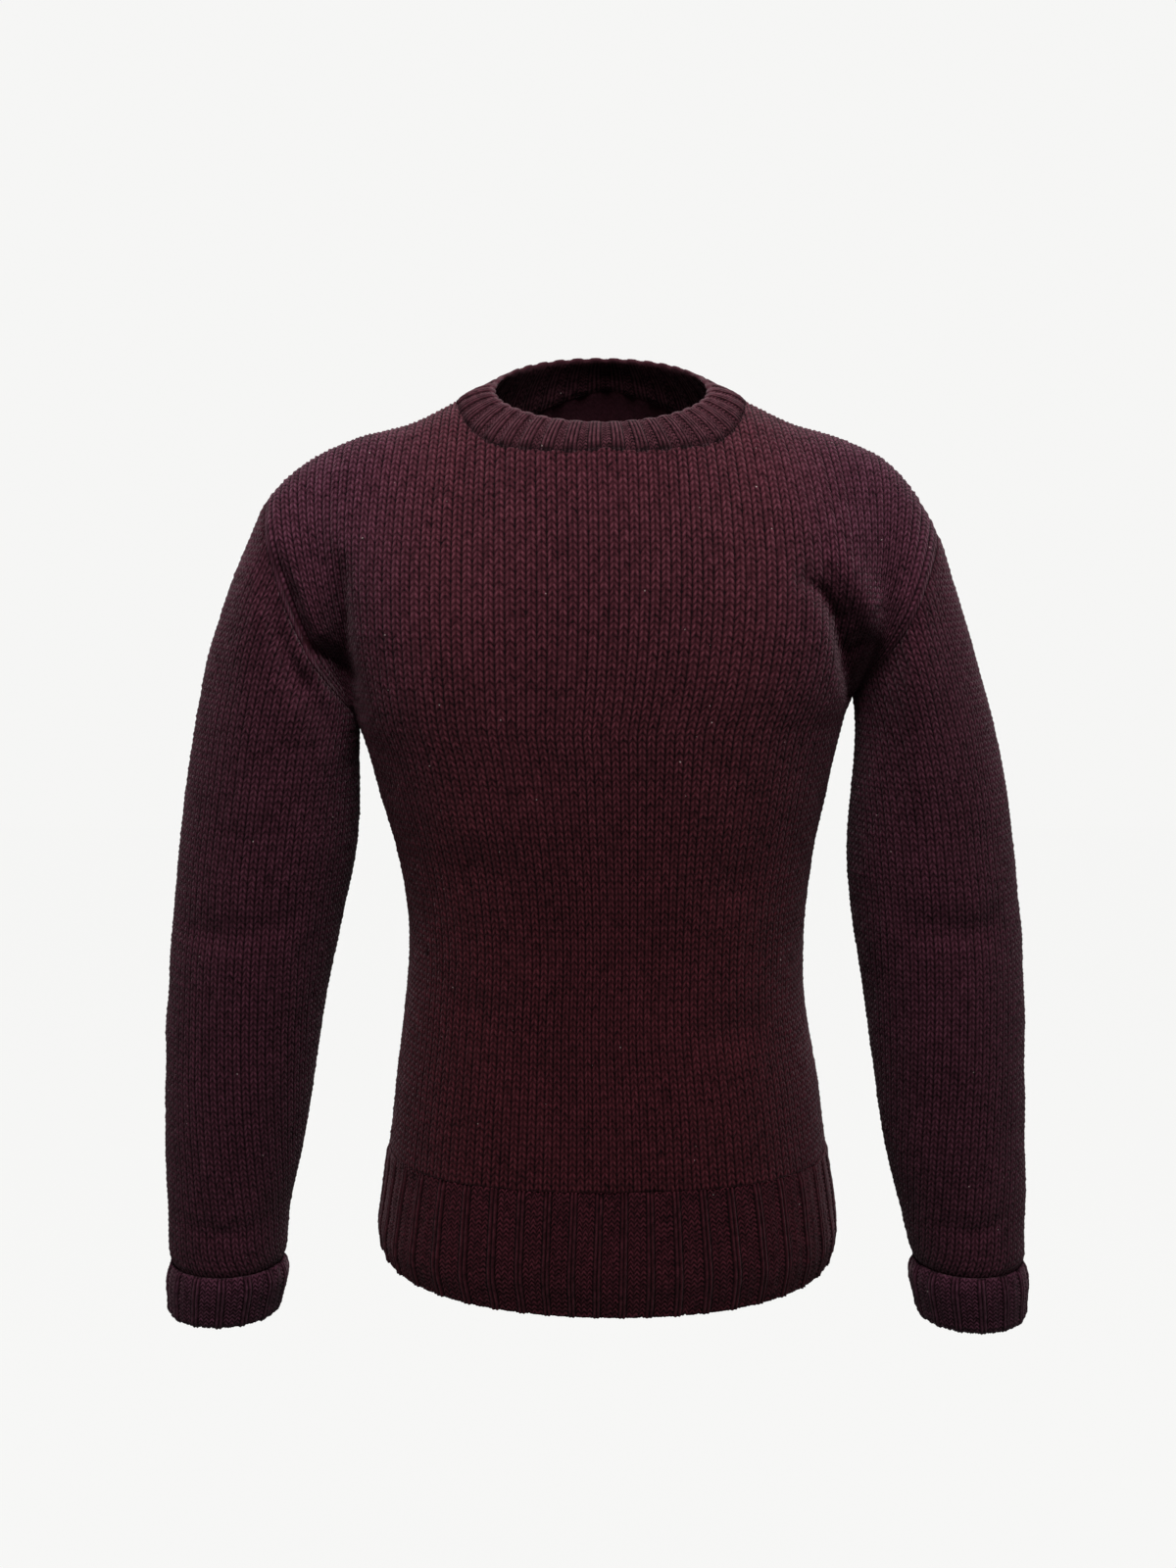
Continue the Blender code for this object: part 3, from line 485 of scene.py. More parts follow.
CREASES = {
    FRONT: [
        # at the right armpit: down beside the body, and round the lower edge of the lobe
        [(-192, -112, 0, 6), (-193, -138, 8, 6), (-193, -166, 13, 6), (-193, -189, 15, 7),
         (-190, -208, 13, 8), (-185, -232, 6, 8)],
        [(-246, -108, 0, 6), (-240, -128, 10, 7), (-234, -146, 16, 7), (-230, -163, 18, 7),
         (-223, -180, 16, 7), (-213, -190, 14, 7), (-201, -199, 12, 7), (-192, -207, 8, 7)],
        [(-222, -192, 0, 8), (-212, -205, 6, 8), (-199, -218, 7, 8), (-186, -232, 0, 8)],
        [(-247, -78, 0, 6), (-253, -99, -4, 6), (-256, -127, -7, 7), (-256, -158, -6, 8),
         (-250, -205, 0, 10)],
        # the lobe itself, between the creases
        [(-212, -120, 0, 10), (-212, -150, -4, 10), (-210, -172, -5, 9), (-203, -185, 0, 8)],
        # at the left armpit: the deep crease, a short one beside it, and a ridge down the sleeve
        [(140, -128, 0, 8), (150, -132, 6, 8), (163, -142, 11, 6), (174, -160, 14, 6), (179, -180, 16, 6),
         (184, -200, 16, 7), (191, -222, 10, 7)],
        [(188, -185, 4, 5), (196, -177, 6, 5), (206, -181, 5, 5), (210, -202, 0, 6)],
        [(216, -105, 0, 7), (224, -144, -4, 7), (231, -189, -5, 7), (238, -269, -4, 9),
         (243, -340, 0, 12)],
        # the chest beside the left crease stands out over it
        [(168, -105, 0, 12), (185, -128, -7, 11), (198, -152, -10, 11), (206, -178, -6, 10),
         (212, -200, 0, 10)],
        # shallow waves at the waist, the elbows and above the cuffs
        [(-130, -330, 0, 20), (-95, -345, 3, 18), (-60, -350, 0, 20)],
        [(135, -335, 0, 20), (100, -355, 3, 18), (62, -365, 0, 20)],
        [(-130, -440, 0, 16), (-100, -452, 3, 16), (-60, -455, 0, 16)],
        [(140, -455, 0, 16), (105, -470, 3, 16), (60, -470, 0, 16)],
        [(-340, -395, 0, 12), (-300, -410, 4, 12), (-250, -400, 3, 14), (-215, -380, 0, 14)],
        [(330, -385, 0, 12), (290, -405, 4, 12), (245, -400, 3, 14), (208, -375, 0, 14)],
        [(-345, -640, 0, 8), (-300, -652, 3, 9), (-262, -646, 0, 9)],
        [(338, -636, 0, 8), (295, -650, 3, 9), (256, -645, 0, 9)],
    ],
    BACK: [
        # the armpits from behind, and what the sleeves pull across the back
        [(-196, -120, 0, 7), (-197, -155, 9, 7), (-194, -190, 13, 7), (-188, -230, 6, 8)],
        [(192, -115, 0, 7), (196, -150, 10, 7), (194, -185, 14, 7), (190, -222, 6, 8)],
        [(-235, -120, 0, 9), (-228, -160, 7, 9), (-214, -195, 7, 9), (-200, -222, 0, 9)],
        [(232, -118, 0, 9), (225, -155, 6, 9), (212, -188, 7, 9), (198, -214, 0, 9)],
        [(-140, -90, 0, 18), (-120, -130, 3, 18), (-105, -180, 0, 20)],
        [(142, -88, 0, 18), (124, -128, 3, 18), (110, -172, 0, 20)],
        [(-130, -470, 0, 14), (-60, -500, 4, 14), (20, -505, 0, 16)],
        [(-335, -360, 0, 12), (-290, -385, 5, 11), (-235, -380, 0, 12)],
        [(-338, -425, 0, 12), (-285, -440, 5, 11), (-235, -425, 0, 12)],
        [(330, -355, 0, 12), (285, -380, 5, 11), (232, -372, 0, 12)],
        [(332, -430, 0, 12), (280, -448, 5, 11), (228, -432, 0, 12)],
    ],
}
CREASE_FADE = 0.030


def press_in(points, lines, fade):
    """Moves points in y towards the inside by every fold's depth times a bell curve of the distance to
    its line, and fades this out within a given distance of y = 0."""
    x, y, z = np.moveaxis(points, -1, 0)
    moved = points.copy()
    for face in (FRONT, BACK):
        total = np.zeros(x.shape)
        for line in lines[face]:
            line = np.array(line) / 1000
            best = np.zeros(x.shape)
            for a, b in zip(line[:-1], line[1:]):
                run = b[:2] - a[:2]
                u = np.clip(((x - a[0]) * run[0] + (z - a[1]) * run[1]) / (run @ run), 0, 1)
                away = np.hypot(x - a[0] - u * run[0], z - a[1] - u * run[1])
                value = (a[2] + u * (b[2] - a[2])) * bell(away, a[3] + u * (b[3] - a[3]))
                best = np.where(np.abs(value) > np.abs(best), value, best)
            total = total + best
        moved[..., 1] -= face * ease(face * y / fade) * total
    return moved


def folded(points):
    """Points with the main folds pressed in first, and the narrower creases after them."""
    return press_in(press_in(points, FOLDS, FOLD_FADE), CREASES, CREASE_FADE)


for face, word in ((FRONT, "in front"), (BACK, "behind")):
    print(len(FOLDS[face]), "main folds and", len(CREASES[face]), "creases", word)

# %% [markdown]
# Nothing knitted by hand is perfectly even. A gentle unevenness of under a millimetre, a few
# centimetres from crest to crest, keeps the wide plain surfaces from looking moulded.

# %% Unevenness


def unevenness(points, seed):
    """The sum of eight plane waves through space, each with its own direction, length and start."""
    rng = np.random.default_rng(seed)
    total = np.zeros(points.shape[:-1])
    for _ in range(8):
        direction = unit(rng.normal(size=3))
        length = rng.uniform(0.035, 0.110)
        total += np.sin(points @ direction * (2 * math.pi / length) + rng.uniform(0, 2 * math.pi))
    return total / 8


print("unevenness at the origin:", round(float(unevenness(np.zeros((1, 3)), 1)[0]), 3))

# %% [markdown]
# A knitted fabric is a grid. A wale is a column of loops, a course is a row of them. On the face of
# plain knit every loop shows two legs that meet at the top, so the surface reads as stacked chevrons.
# Modelling the yarn itself would take millions of faces, so the fabric is one surface with four columns
# of vertices to a wale and two rows to a course. The rows are pushed up in the middle of each wale, and
# the vertices are raised on the legs and sunk between them.

# %% The stitch grid
COURSE = 0.0048
WALE = 0.0064
KNIT_LIFT = np.array([-0.85, -0.42, 0.0, -0.42])
STITCH_HEIGHTS = np.array([
    # one wale from left to right: its left edge, left leg, middle, right leg
    [(0.02, 1.00, 0.40, 1.00), (0.00, 0.66, 0.17, 0.66)],
    # a cord, as the tight columns of a rib look: a ridge that runs straight on, with slight knots
    [(0.00, 0.46, 1.00, 0.50), (0.00, 0.34, 0.84, 0.38)],
    # fine loops side by side, whose tops join in a zigzag
    [(0.80, 1.15, 0.95, 1.15), (0.02, 0.10, 0.02, 0.10)],
    # the same where the zigzag starts, with a gap at its left
    [(0.00, 1.15, 0.95, 1.15), (0.00, 0.10, 0.02, 0.10)],
])
PLAIN = 0
CORD = 1
ZIGZAG = 2
ZIGZAG_START = 3


class Wales:
    """The columns of a grid. Each has the kind of its wale, its place in it and its number in wales."""

    def __init__(self, kinds):
        self.count = len(kinds)
        quarter = np.arange(4 * self.count + 1)
        self.kind = np.asarray(kinds)[np.minimum(quarter // 4, self.count - 1)]
        self.place = quarter % 4
        self.number = quarter / 4
        self.lift = np.where(self.kind == CORD, KNIT_LIFT[0], KNIT_LIFT[self.place])


def stitch_heights(wales, rows, seed):
    """Heights from 0 to 1 for a grid of rows by quarter wales, with each loop a little fuller or
    slacker than its neighbours."""
    rng = np.random.default_rng(seed)
    row = np.arange(rows)[:, None]
    base = STITCH_HEIGHTS[wales.kind, row % 2, wales.place]
    loops = rng.normal(1.0, 0.17, size=(rows // 2 + 1, 2 * wales.count + 2))
    return base * loops[row // 2, np.arange(4 * wales.count + 1) // 2]


print("one wale:", stitch_heights(Wales([PLAIN]), 2, 1).round(2).tolist())

# %% [markdown]
# A wall of cloth has an outside with stitches, a plain inside, and edges that join the two. Where a
# column of stitches reaches a seam, the rest of its rows all lie on the seam. Points of the grid that
# fall together there are merged, and the triangles between them are dropped, so the surface stays clean.

# %% From grids to a mesh


def strip(outer, inner):
    """Triangles from a fine edge to a coarse one, where each coarse step faces a whole number of fine
    ones."""
    steps = (len(outer) - 1) // (len(inner) - 1)
    fine = np.arange(len(outer) - 1)
    coarse = fine // steps
    near = np.where(fine % steps < steps / 2, coarse, coarse + 1)
    fans = np.stack([inner[near], outer[fine], outer[fine + 1]], -1)
    turns = np.arange(len(inner) - 1)
    middles = turns * steps + int(math.ceil(steps / 2))
    return np.concatenate([fans, np.stack([inner[turns], outer[middles], inner[turns + 1]], -1)])


def cells(index):
    """Two triangles for each cell of a grid of vertex numbers."""
    a, b, c, d = index[:-1, :-1], index[:-1, 1:], index[1:, 1:], index[1:, :-1]
    return np.concatenate([np.stack(corners, -1).reshape(-1, 3) for corners in ((a, b, c), (a, c, d))])


def make_mesh(name, points, labels, uv, depth, triangles, slots, materials):
    """A smooth-shaded object from triangles of grid points. Points with the same label become one
    vertex, and triangles that lose a corner by that are left out. The UV map holds wales and courses,
    and the attribute depth is 0 between the loops and 1 on top of them."""
    _, first, merged = np.unique(labels, axis=0, return_index=True, return_inverse=True)
    merged = merged.reshape(-1)
    corners = merged[triangles]
    kept = (corners != np.roll(corners, 1, axis=1)).all(axis=1)
    corners, source, slots = corners[kept], triangles[kept], slots[kept]
    used, corners = np.unique(corners, return_inverse=True)
    corners = corners.reshape(-1, 3)
    first = first[used]
    mesh = bpy.data.meshes.new(name)
    mesh.from_pydata(points[first], [], corners)
    mesh.polygons.foreach_set("material_index", slots.astype(np.int32))
    mesh.shade_smooth()
    stitches = mesh.uv_layers.new(name="stitches").data
    stitches.foreach_set("uv", uv[source.ravel()].astype(np.float32).ravel())
    depths = mesh.attributes.new("depth", "FLOAT", "POINT").data
    depths.foreach_set("value", depth[first].astype(np.float32))
    for material in materials:
        mesh.materials.append(material)
    piece = bpy.data.objects.new(name, mesh)
    bpy.context.scene.collection.objects.link(piece)
    print(name, len(first), "vertices", len(corners), "triangles")
    return piece


def labelled(points, layer):
    """Each point's place in hundredths of a millimetre, with the number of its layer."""
    place = np.round(points.reshape(-1, 3) * 1e5).astype(np.int64)
    return np.column_stack([place, np.full(len(place), layer)])


def wall(name, outside, inside, depth, uv, rest, closed, materials):
    """A wall from an outside grid and an inside grid with a quarter of its columns and half its rows.
    rest holds the outside points before the stitches were raised, and labels which of them coincide.
    A closed wall is a tube whose first and last columns coincide."""
    index = np.arange(outside[..., 0].size).reshape(outside.shape[:2])
    inner = index.size + np.arange(inside[..., 0].size).reshape(inside.shape[:2])
    face = cells(index)
    parts = [face, cells(inner)[:, ::-1], strip(index[0], inner[0])[:, ::-1], strip(index[-1], inner[-1])]
    if not closed:
        parts += [strip(index[:, 0], inner[:, 0]), strip(index[:, -1], inner[:, -1])[:, ::-1]]
    triangles = np.concatenate(parts)
    slots = (np.arange(len(triangles)) >= len(face)).astype(int)
    labels = np.concatenate([labelled(rest, 0), labelled(rest[::2, ::4], 1)])
    points = np.concatenate([outside.reshape(-1, 3), inside.reshape(-1, 3)])
    uv = np.concatenate([uv.reshape(-1, 2), uv[::2, ::4].reshape(-1, 2)])
    depth = np.concatenate([depth.ravel(), np.full(inner.size, 0.5)])
    return make_mesh(name, points, labels, uv, depth, triangles, slots, materials)


test_strip = strip(np.arange(9), np.arange(100, 103))
print("a strip of", len(test_strip), "triangles")

# %% [markdown]
# The wool is dark. Its colour carries painted shade, almost black between the loops, and a painted
# highlight, a dusty wine red where the fuzz on top of them catches the light. Its material has three
# scales: the shape of each loop, which repeats with the stitch coordinates in the UV map, the fibres of
# the yarn, which are a fine noise, and slow changes of tone over the garment. Sheen gives the pale rim
# that fuzz has at a low angle, and only where the loops are raised. Light falls from above, and the colour
# carries painted light
# for it: paler high up, darker and redder low down. A few specks of lint lie on it.

# %% Wool
# the colour between the loops: painted shade, almost black
PAINTED_GAP_SHADE = (0.0030, 0.0006, 0.0010)
# painted light high up, and painted shade low down: red for the body, ribs, band and inside, plum for the
# sleeves and cuffs
PAINTED_TOP_LIGHT = (1.06, 1.18, 1.20)
RED_PAINTED_LOW_SHADE = (0.82, 0.60, 0.62)
PLUM_PAINTED_LOW_SHADE = (0.92, 0.94, 1.04)
MORE_PLUM = (1.00, 1.22, 1.42)
NO_TINT = (1.0, 1.0, 1.0)
LINT = (0.26, 0.21, 0.20)


def wool(name, body, painted_crest_light, painted_low_shade, side_tint, loops):
    """The wool: painted shade, almost black, between the loops, body on their flanks and a painted
    highlight, the colour for the crests, on top. It is multiplied by painted light by height, paler high
    up and a given low tint of painted shade towards the hem, and by side_tint towards the sleeves. loops
    is how strongly the shader adds single loops."""
    material = bpy.data.materials.new(name)
    material.use_nodes = True
    add = Nodes(material.node_tree)
    calc = add.math
    shader = material.node_tree.nodes["Principled BSDF"]
    shader.inputs["Roughness"].default_value = 0.92
    shader.inputs["Specular IOR Level"].default_value = 0.05
    shader.inputs["Sheen Roughness"].default_value = 0.42
    shader.inputs["Sheen Tint"].default_value = (0.86, 0.62, 0.68, 1.0)

    # the legs of each loop, and the twist of the yarn, from the stitch coordinates
    stitches = add.add("ShaderNodeUVMap", {}, uv_map="stitches").outputs[0]
    u, v, _ = add.add("ShaderNodeSeparateXYZ", {0: stitches}).outputs
    across = calc("FRACT", u)
    peak = calc("ABSOLUTE", calc("MULTIPLY_ADD", across, 2.0, -1.0))
    along = calc("MULTIPLY_ADD", peak, 0.85, v)
    leg = calc("ABSOLUTE", calc("SINE", calc("MULTIPLY", across, 2 * math.pi)))
    course = calc("COSINE", calc("MULTIPLY", along, 2 * math.pi))
    course = calc("MULTIPLY_ADD", course, 0.5, 0.5)
    loop = calc("MULTIPLY", calc("POWER", leg, 0.6), calc("POWER", course, 0.7))
    twist = calc("MULTIPLY_ADD", peak, 5.0, calc("MULTIPLY", v, 9.0))
    twist = calc("SINE", calc("MULTIPLY", twist, math.pi))

    # how much of the painted highlight on the crests shows rather than the painted shade between the
    # loops: the modelled depth, the loop, and noise on three scales
    place = add.add("ShaderNodeTexCoord", {}).outputs["Object"]
    fibres = add.noise(place, 950.0, 3.0, 0.65)
    depth = add.add("ShaderNodeAttribute", {}, attribute_name="depth").outputs["Fac"]
    painted_light_and_tone = calc("MULTIPLY_ADD", loop, 0.32 * loops, calc("MULTIPLY", depth, 0.92 - 0.24 * loops))
    fuzz, tone = add.noise(place, 230.0, 2.0), add.noise(place, 16.0, 4.0)
    for noise, share, middle in ((fibres, 0.65, -0.32), (fuzz, 0.60, -0.29), (tone, 0.22, -0.11)):
        painted_light_and_tone = calc("MULTIPLY_ADD", noise, share, calc("ADD", painted_light_and_tone, middle))
    # low leaves the painted shade between the loops and also sets the sheen; high reaches the painted
    # highlight on the crests
    low, high = add.rise(painted_light_and_tone, 0.02, 0.48), add.rise(painted_light_and_tone, 0.45, 1.05)
    add.feed(shader.inputs["Sheen Weight"], calc("MULTIPLY", low, 0.11))
    colour = add.mix(high, add.mix(low, PAINTED_GAP_SHADE, body), painted_crest_light)

    # painted light by height, paler high up and darker and redder low down; a tint towards the sleeves;
    # the lint on top
    x, _, z = add.add("ShaderNodeSeparateXYZ", {0: place}).outputs
    painted_light_by_height = add.mix(add.rise(z, -0.42, -0.02), painted_low_shade, PAINTED_TOP_LIGHT)
    sleeve_tint = add.mix(add.rise(calc("ABSOLUTE", x), 0.10, 0.21), NO_TINT, side_tint)
    colour = add.mix(1.0, add.mix(1.0, colour, painted_light_by_height, "MULTIPLY"), sleeve_tint, "MULTIPLY")
    spots = add.add("ShaderNodeTexVoronoi", {"Vector": place, "Scale": 90.0}).outputs
    near = calc("LESS_THAN", spots["Distance"], 0.05)
    chosen = calc("LESS_THAN", spots["Color"], 0.30)
    speck = calc("MULTIPLY", calc("MULTIPLY", near, chosen), 0.7)
    add.feed(shader.inputs["Base Color"], add.mix(speck, colour, LINT))

    shape = calc("MULTIPLY_ADD", loop, loops, calc("MULTIPLY", twist, 0.10 * loops))
    shape = calc("MULTIPLY_ADD", fibres, 0.55, shape)
    bump = add.add("ShaderNodeBump", {"Strength": 0.85, "Distance": 0.0007, "Height": shape})
    add.feed(shader.inputs["Normal"], bump.outputs["Normal"])
    return material


WOOLS = {
    # flanks, crests (a painted highlight), painted shade low down, tint towards the sleeves, strength of
    # the loops in the shader
    "body wool": ((0.0265, 0.0048, 0.0074), (0.068, 0.0160, 0.0230), RED_PAINTED_LOW_SHADE, MORE_PLUM, 1.0),
    "sleeve wool": ((0.0240, 0.0050, 0.0086), (0.060, 0.0160, 0.0250), PLUM_PAINTED_LOW_SHADE, NO_TINT, 1.0),
    "rib wool": ((0.0235, 0.0044, 0.0076), (0.060, 0.0145, 0.0225), RED_PAINTED_LOW_SHADE, NO_TINT, 0.15),
    "cuff wool": ((0.0240, 0.0060, 0.0105), (0.062, 0.0190, 0.0300), PLUM_PAINTED_LOW_SHADE, NO_TINT, 0.15),
    "band wool": ((0.0240, 0.0058, 0.0084), (0.060, 0.0180, 0.0240), RED_PAINTED_LOW_SHADE, NO_TINT, 0.15),
    # the inside: the same yarn in darker colours, painted shade
    "inside wool in painted shade": ((0.0200, 0.0040, 0.0066), (0.048, 0.0110, 0.0170), RED_PAINTED_LOW_SHADE, NO_TINT, 0.30),
}
materials = [wool(name, *look) for name, look in WOOLS.items()]
body_wool, sleeve_wool, rib_wool, cuff_wool, band_wool, shaded_inside_wool = materials
print("wool materials:", list(WOOLS))

# %% [markdown]
# The front and the back are plain knit. Their columns of loops rise from the hem rib to the shoulder
# seams, and the rows are counted off from the rib at equal steps along each column, as the needles
# make them. At the seams the loops sink into a narrow groove.

# %% Raising the stitches
STITCH_RISE = 0.00125
SEAM_GROOVE = 0.0006
GROOVE_WIDTH = 0.0028
SINK = 0.0004
UNEVEN = 0.0011
EVEN_WIDTH = 0.012


def raise_stitches(rest, normals, height, to_seam, seed):
    """Moves the points out by the loops' heights, and sinks them in a bell curve along the seams."""
    seam = bell(to_seam, GROOVE_WIDTH)
    swell = UNEVEN * unevenness(rest, seed) * (1 - bell(to_seam, EVEN_WIDTH))
    move = STITCH_RISE * height * (1 - 0.5 * seam) - SEAM_GROOVE * seam - SINK + swell
    return rest + normals * move[..., None]


def wander(wales, rows, seed):
    """How far each loop sits above or below its place, in courses: the same for the points of one loop,
    a normal draw smoothed with its neighbours up and down the wale."""
    rng = np.random.default_rng(seed)
    loops = rng.normal(0.0, 0.11, size=(rows // 2 + 3, wales.count + 1))
    loops = (loops[:-2] + 2 * loops[1:-1] + loops[2:]) / 2
    here = np.minimum((np.arange(4 * wales.count + 1) + 1) // 4, wales.count)
    return loops[np.arange(rows)[:, None] // 2, here] * (wales.place > 0)


def loop_depth(height, to_seam):
    """The attribute depth: the loops' heights, less along a seam, where the wool is in shade."""
    return height * (1 - 0.35 * bell(to_seam, 0.0030))


def stitch_uv(number, course):
    """The UV map of a grid: wales across and courses up."""
    return np.stack([np.broadcast_to(number, course.shape), course], -1)


def face_normals(point, face, s, v, aside, above, below):
    """Outward normals of a front or back piece: the cross product of the way between the points aside
    and the way from the points below to those above."""
    right, left = point(face, np.clip(s + aside, -1, 1), v), point(face, np.clip(s - aside, -1, 1), v)
    return unit(np.cross((right - left) * -face, point(face, s, above) - point(face, s, below)))


def panel_point(face, s, v):
    """The front or back at place s. v is 0 at the hem rib, 1 at the armpits' height and 2 at the top."""
    lower = body_section(face, s, RIB_TOP_Z + (chest_level(s) - RIB_TOP_Z) * np.minimum(v, 1))
    upper = above_chest(face, s, np.clip(v - 1, 0, 1) * neck_cut(face, s))
    return folded(np.where((v < 1)[..., None], lower, upper))


def knit_panel(name, face, wales, seed):
    """The front or back: places across it at quarter wales, and arc lengths up it at half courses."""
    s = np.linspace(-1, 1, 4 * wales.count + 1) * -face
    v_dense = np.linspace(0, 2, 241)
    dense = panel_point(face, s, np.broadcast_to(v_dense[:, None], (len(v_dense), len(s))))
    travelled = arc_length(dense)
    length = travelled[-1]
    rows = 2 * int(math.ceil(length.max() / COURSE)) + 5
    course = np.arange(rows)[:, None] / 2 + wales.lift + wander(wales, rows, seed)
    course[0] = np.minimum(course[0], 0)
    travel = np.clip(COURSE * course, 0, length)
    v = np.stack([np.interp(t, d, v_dense) for t, d in zip(travel.T, travelled.T)], -1)
    v = np.minimum(v, 1.9999)
    rest = panel_point(face, s, v)
    above, below = np.minimum(v + 0.004, 2), np.maximum(v - 0.004, 0)
    normals = face_normals(panel_point, face, s, v, 0.002, above, below)
    height = stitch_heights(wales, rows, seed)
    side = np.minimum(wales.number, wales.count - wales.number) * WALE
    to_seam = np.minimum(length - travel, side)
    outside = raise_stitches(rest, normals, height, to_seam, seed)
    inside = (rest - normals * KNIT_WALL)[::2, ::4]
    depth, uv = loop_depth(height, to_seam), stitch_uv(wales.number, travel / COURSE)
    return wall(name, outside, inside, depth, uv, rest, False, [body_wool, shaded_inside_wool])


panel_wales = Wales([PLAIN] * 74)
front = knit_panel("knitted_front", FRONT, panel_wales, 11)
back = knit_panel("knitted_back", BACK, panel_wales, 12)

# %% [markdown]
# A sleeve is a tube that is knitted flat and closed by a seam along its underside. Its courses are
# counted from the wrist, and its wales from the line down its outer side. Where a course reaches the
# seam, or a wale the armhole, it stops. The rings of the form lean over towards the armhole while the
# courses keep to even steps, so the layout is worked out on a form that runs on past the armhole.

# %% Sleeves
BLOUSE = {"height": -0.684, "width": 0.012, "rise": 0.0018}
WRIST = {"flat": 0.0085, "fade": 0.007}


def tube_point(side, angle, along):
    """A sleeve's surface: the ring at a place along it, with the folds."""
    return folded(sleeve_ring(side, -side * angle, along))


def column_wise(x, keys, values):
    """Linear interpolation for each column of a grid, with its own keys and values."""
    return np.stack([np.interp(x[:, i], keys[:, i], values[:, i]) for i in range(x.shape[1])], -1)


def knit_sleeve(name, side, wales, seed):
    """A sleeve: courses at equal arc lengths from the wrist, wales at equal ones from the outer line."""
    turns = 97
    middle = turns // 2
    angles = np.linspace(-math.pi, math.pi, turns)
    ways = np.linspace(0, 1.4, 281)
    armhole = 200
    climbed = arc_length(sleeve_ring(side, -side * angles, ways[:, None]))
    rows = 2 * int(math.ceil(climbed[armhole].max() / COURSE)) + 3
    steps = np.arange(rows) * COURSE / 2
    way = column_wise(np.repeat(steps[:, None], turns, 1), climbed, np.repeat(ways[:, None], turns, 1))
    round_it = arc_length(sleeve_ring(side, -side * angles, way), axis=1)
    round_it = round_it - round_it[:, middle : middle + 1]
    widest = (round_it[:, -1] - round_it[:, 0])[way.min(axis=1) < 1].max()
    print(name, "widest course", round(float(widest), 4), "of", round(wales.count * WALE, 4))
    quarter = (wales.number - wales.count / 2) * WALE
    angle = np.stack([np.interp(quarter, r, angles) for r in round_it])
    way = np.stack([np.interp(a, angles, w) for a, w in zip(angle, way)])

    at_underarm = (quarter <= round_it[:, :1]) | (quarter >= round_it[:, -1:])
    lift = np.where(at_underarm, KNIT_LIFT[0], wales.lift)
    number = np.repeat(np.arange(rows, dtype=float)[:, None], len(quarter), 1)
    last = np.array([np.interp(1.0, w, number[:, 0]) for w in way.T])
    row = np.clip(number + 2 * (lift + wander(wales, rows, seed) * ~at_underarm), 0, last)
    angle, way = column_wise(row, number, angle), np.minimum(column_wise(row, number, way), 1.0)
    rest = tube_point(side, angle, way)
    across = tube_point(side, angle + 0.01, way) - tube_point(side, angle - 0.01, way)
    up = tube_point(side, angle, way + 0.003) - tube_point(side, angle, way - 0.003)
    normals = unit(np.cross(across, up))

    height = stitch_heights(wales, rows, seed)
    under = np.minimum(np.abs(quarter - round_it[:, :1]), np.abs(round_it[:, -1:] - quarter))
    under = np.where(at_underarm, 0, under)
    to_seam = np.minimum((last - row) * COURSE / 2, under)
    wrist = ease((row * COURSE / 2 - WRIST["flat"]) / WRIST["fade"])
    full = BLOUSE["rise"] * bell(rest[..., 2] - BLOUSE["height"], BLOUSE["width"]) * wrist
    outside = raise_stitches(rest, normals, height * (0.25 + 0.75 * wrist), to_seam, seed)
    outside = outside + normals * full[..., None]
    inside = (rest + normals * (full - KNIT_WALL)[..., None])[::2, ::4]
    depth, uv = loop_depth(height, to_seam), stitch_uv(wales.number, row / 2)
    return wall(name, outside, inside, depth, uv, rest, True, [sleeve_wool, shaded_inside_wool])


sleeve_wales = Wales([PLAIN] * 72)
right_sleeve = knit_sleeve("knitted_right_sleeve", -1, sleeve_wales, 21)
left_sleeve = knit_sleeve("knitted_left_sleeve", 1, sleeve_wales, 22)

# %% [markdown]
# Rib alternates strips of fine loops, which read as a zigzag, with strips of tight columns that look
# like cords and stand out. One rib is a short table of wales, each with its share of the rib's width
# and how far it stands out.

# %% Ribs
RIB_COURSE = 0.0033
# one row a wale: its share of the rib, its kind and its rise
HEM_TABLE = np.array([
    (0.235, ZIGZAG, 0.2),
    (0.235, ZIGZAG, 0.0),
    (0.148, CORD, 0.9),
    (0.147, CORD, 0.9),
    (0.235, ZIGZAG_START, 0.0),
])
CUFF_TABLE = np.array([
    (0.23, ZIGZAG, 0.5),
    (0.23, ZIGZAG, 0.1),
    (0.155, CORD, 0.9),
    (0.155, CORD, 0.9),
    (0.23, ZIGZAG_START, 0.1),
])
BAND_TABLE = np.array([
    (0.22, ZIGZAG, 0.0),
    (0.18, CORD, 0.9),
    (0.19, CORD, 1.0),
    (0.18, CORD, 0.9),
    (0.23, ZIGZAG_START, 0.0),
])


def rib_columns(table, count):
    """The wales of a number of ribs, the place of each quarter wale as a share of the whole, and how
    far each stands out, rounded off over a quarter of a wale at the edges of the ribs."""
    wales = Wales(np.tile(table[:, 1].astype(int), count))
    edges = np.concatenate([[0], np.cumsum(np.tile(table[:, 0] / table[:, 0].sum(), count))])
    places = np.interp(np.arange(4 * wales.count + 1) / 4, np.arange(len(edges)), edges) / count
    rise = np.tile(table[:, 2], count)
    here = rise[np.minimum(np.arange(4 * wales.count + 1) // 4, wales.count - 1)]
    before, after = (np.append(np.roll(here[:-1], step), here[0]) for step in (1, -1))
    return wales, places, (here + before + after) / 3


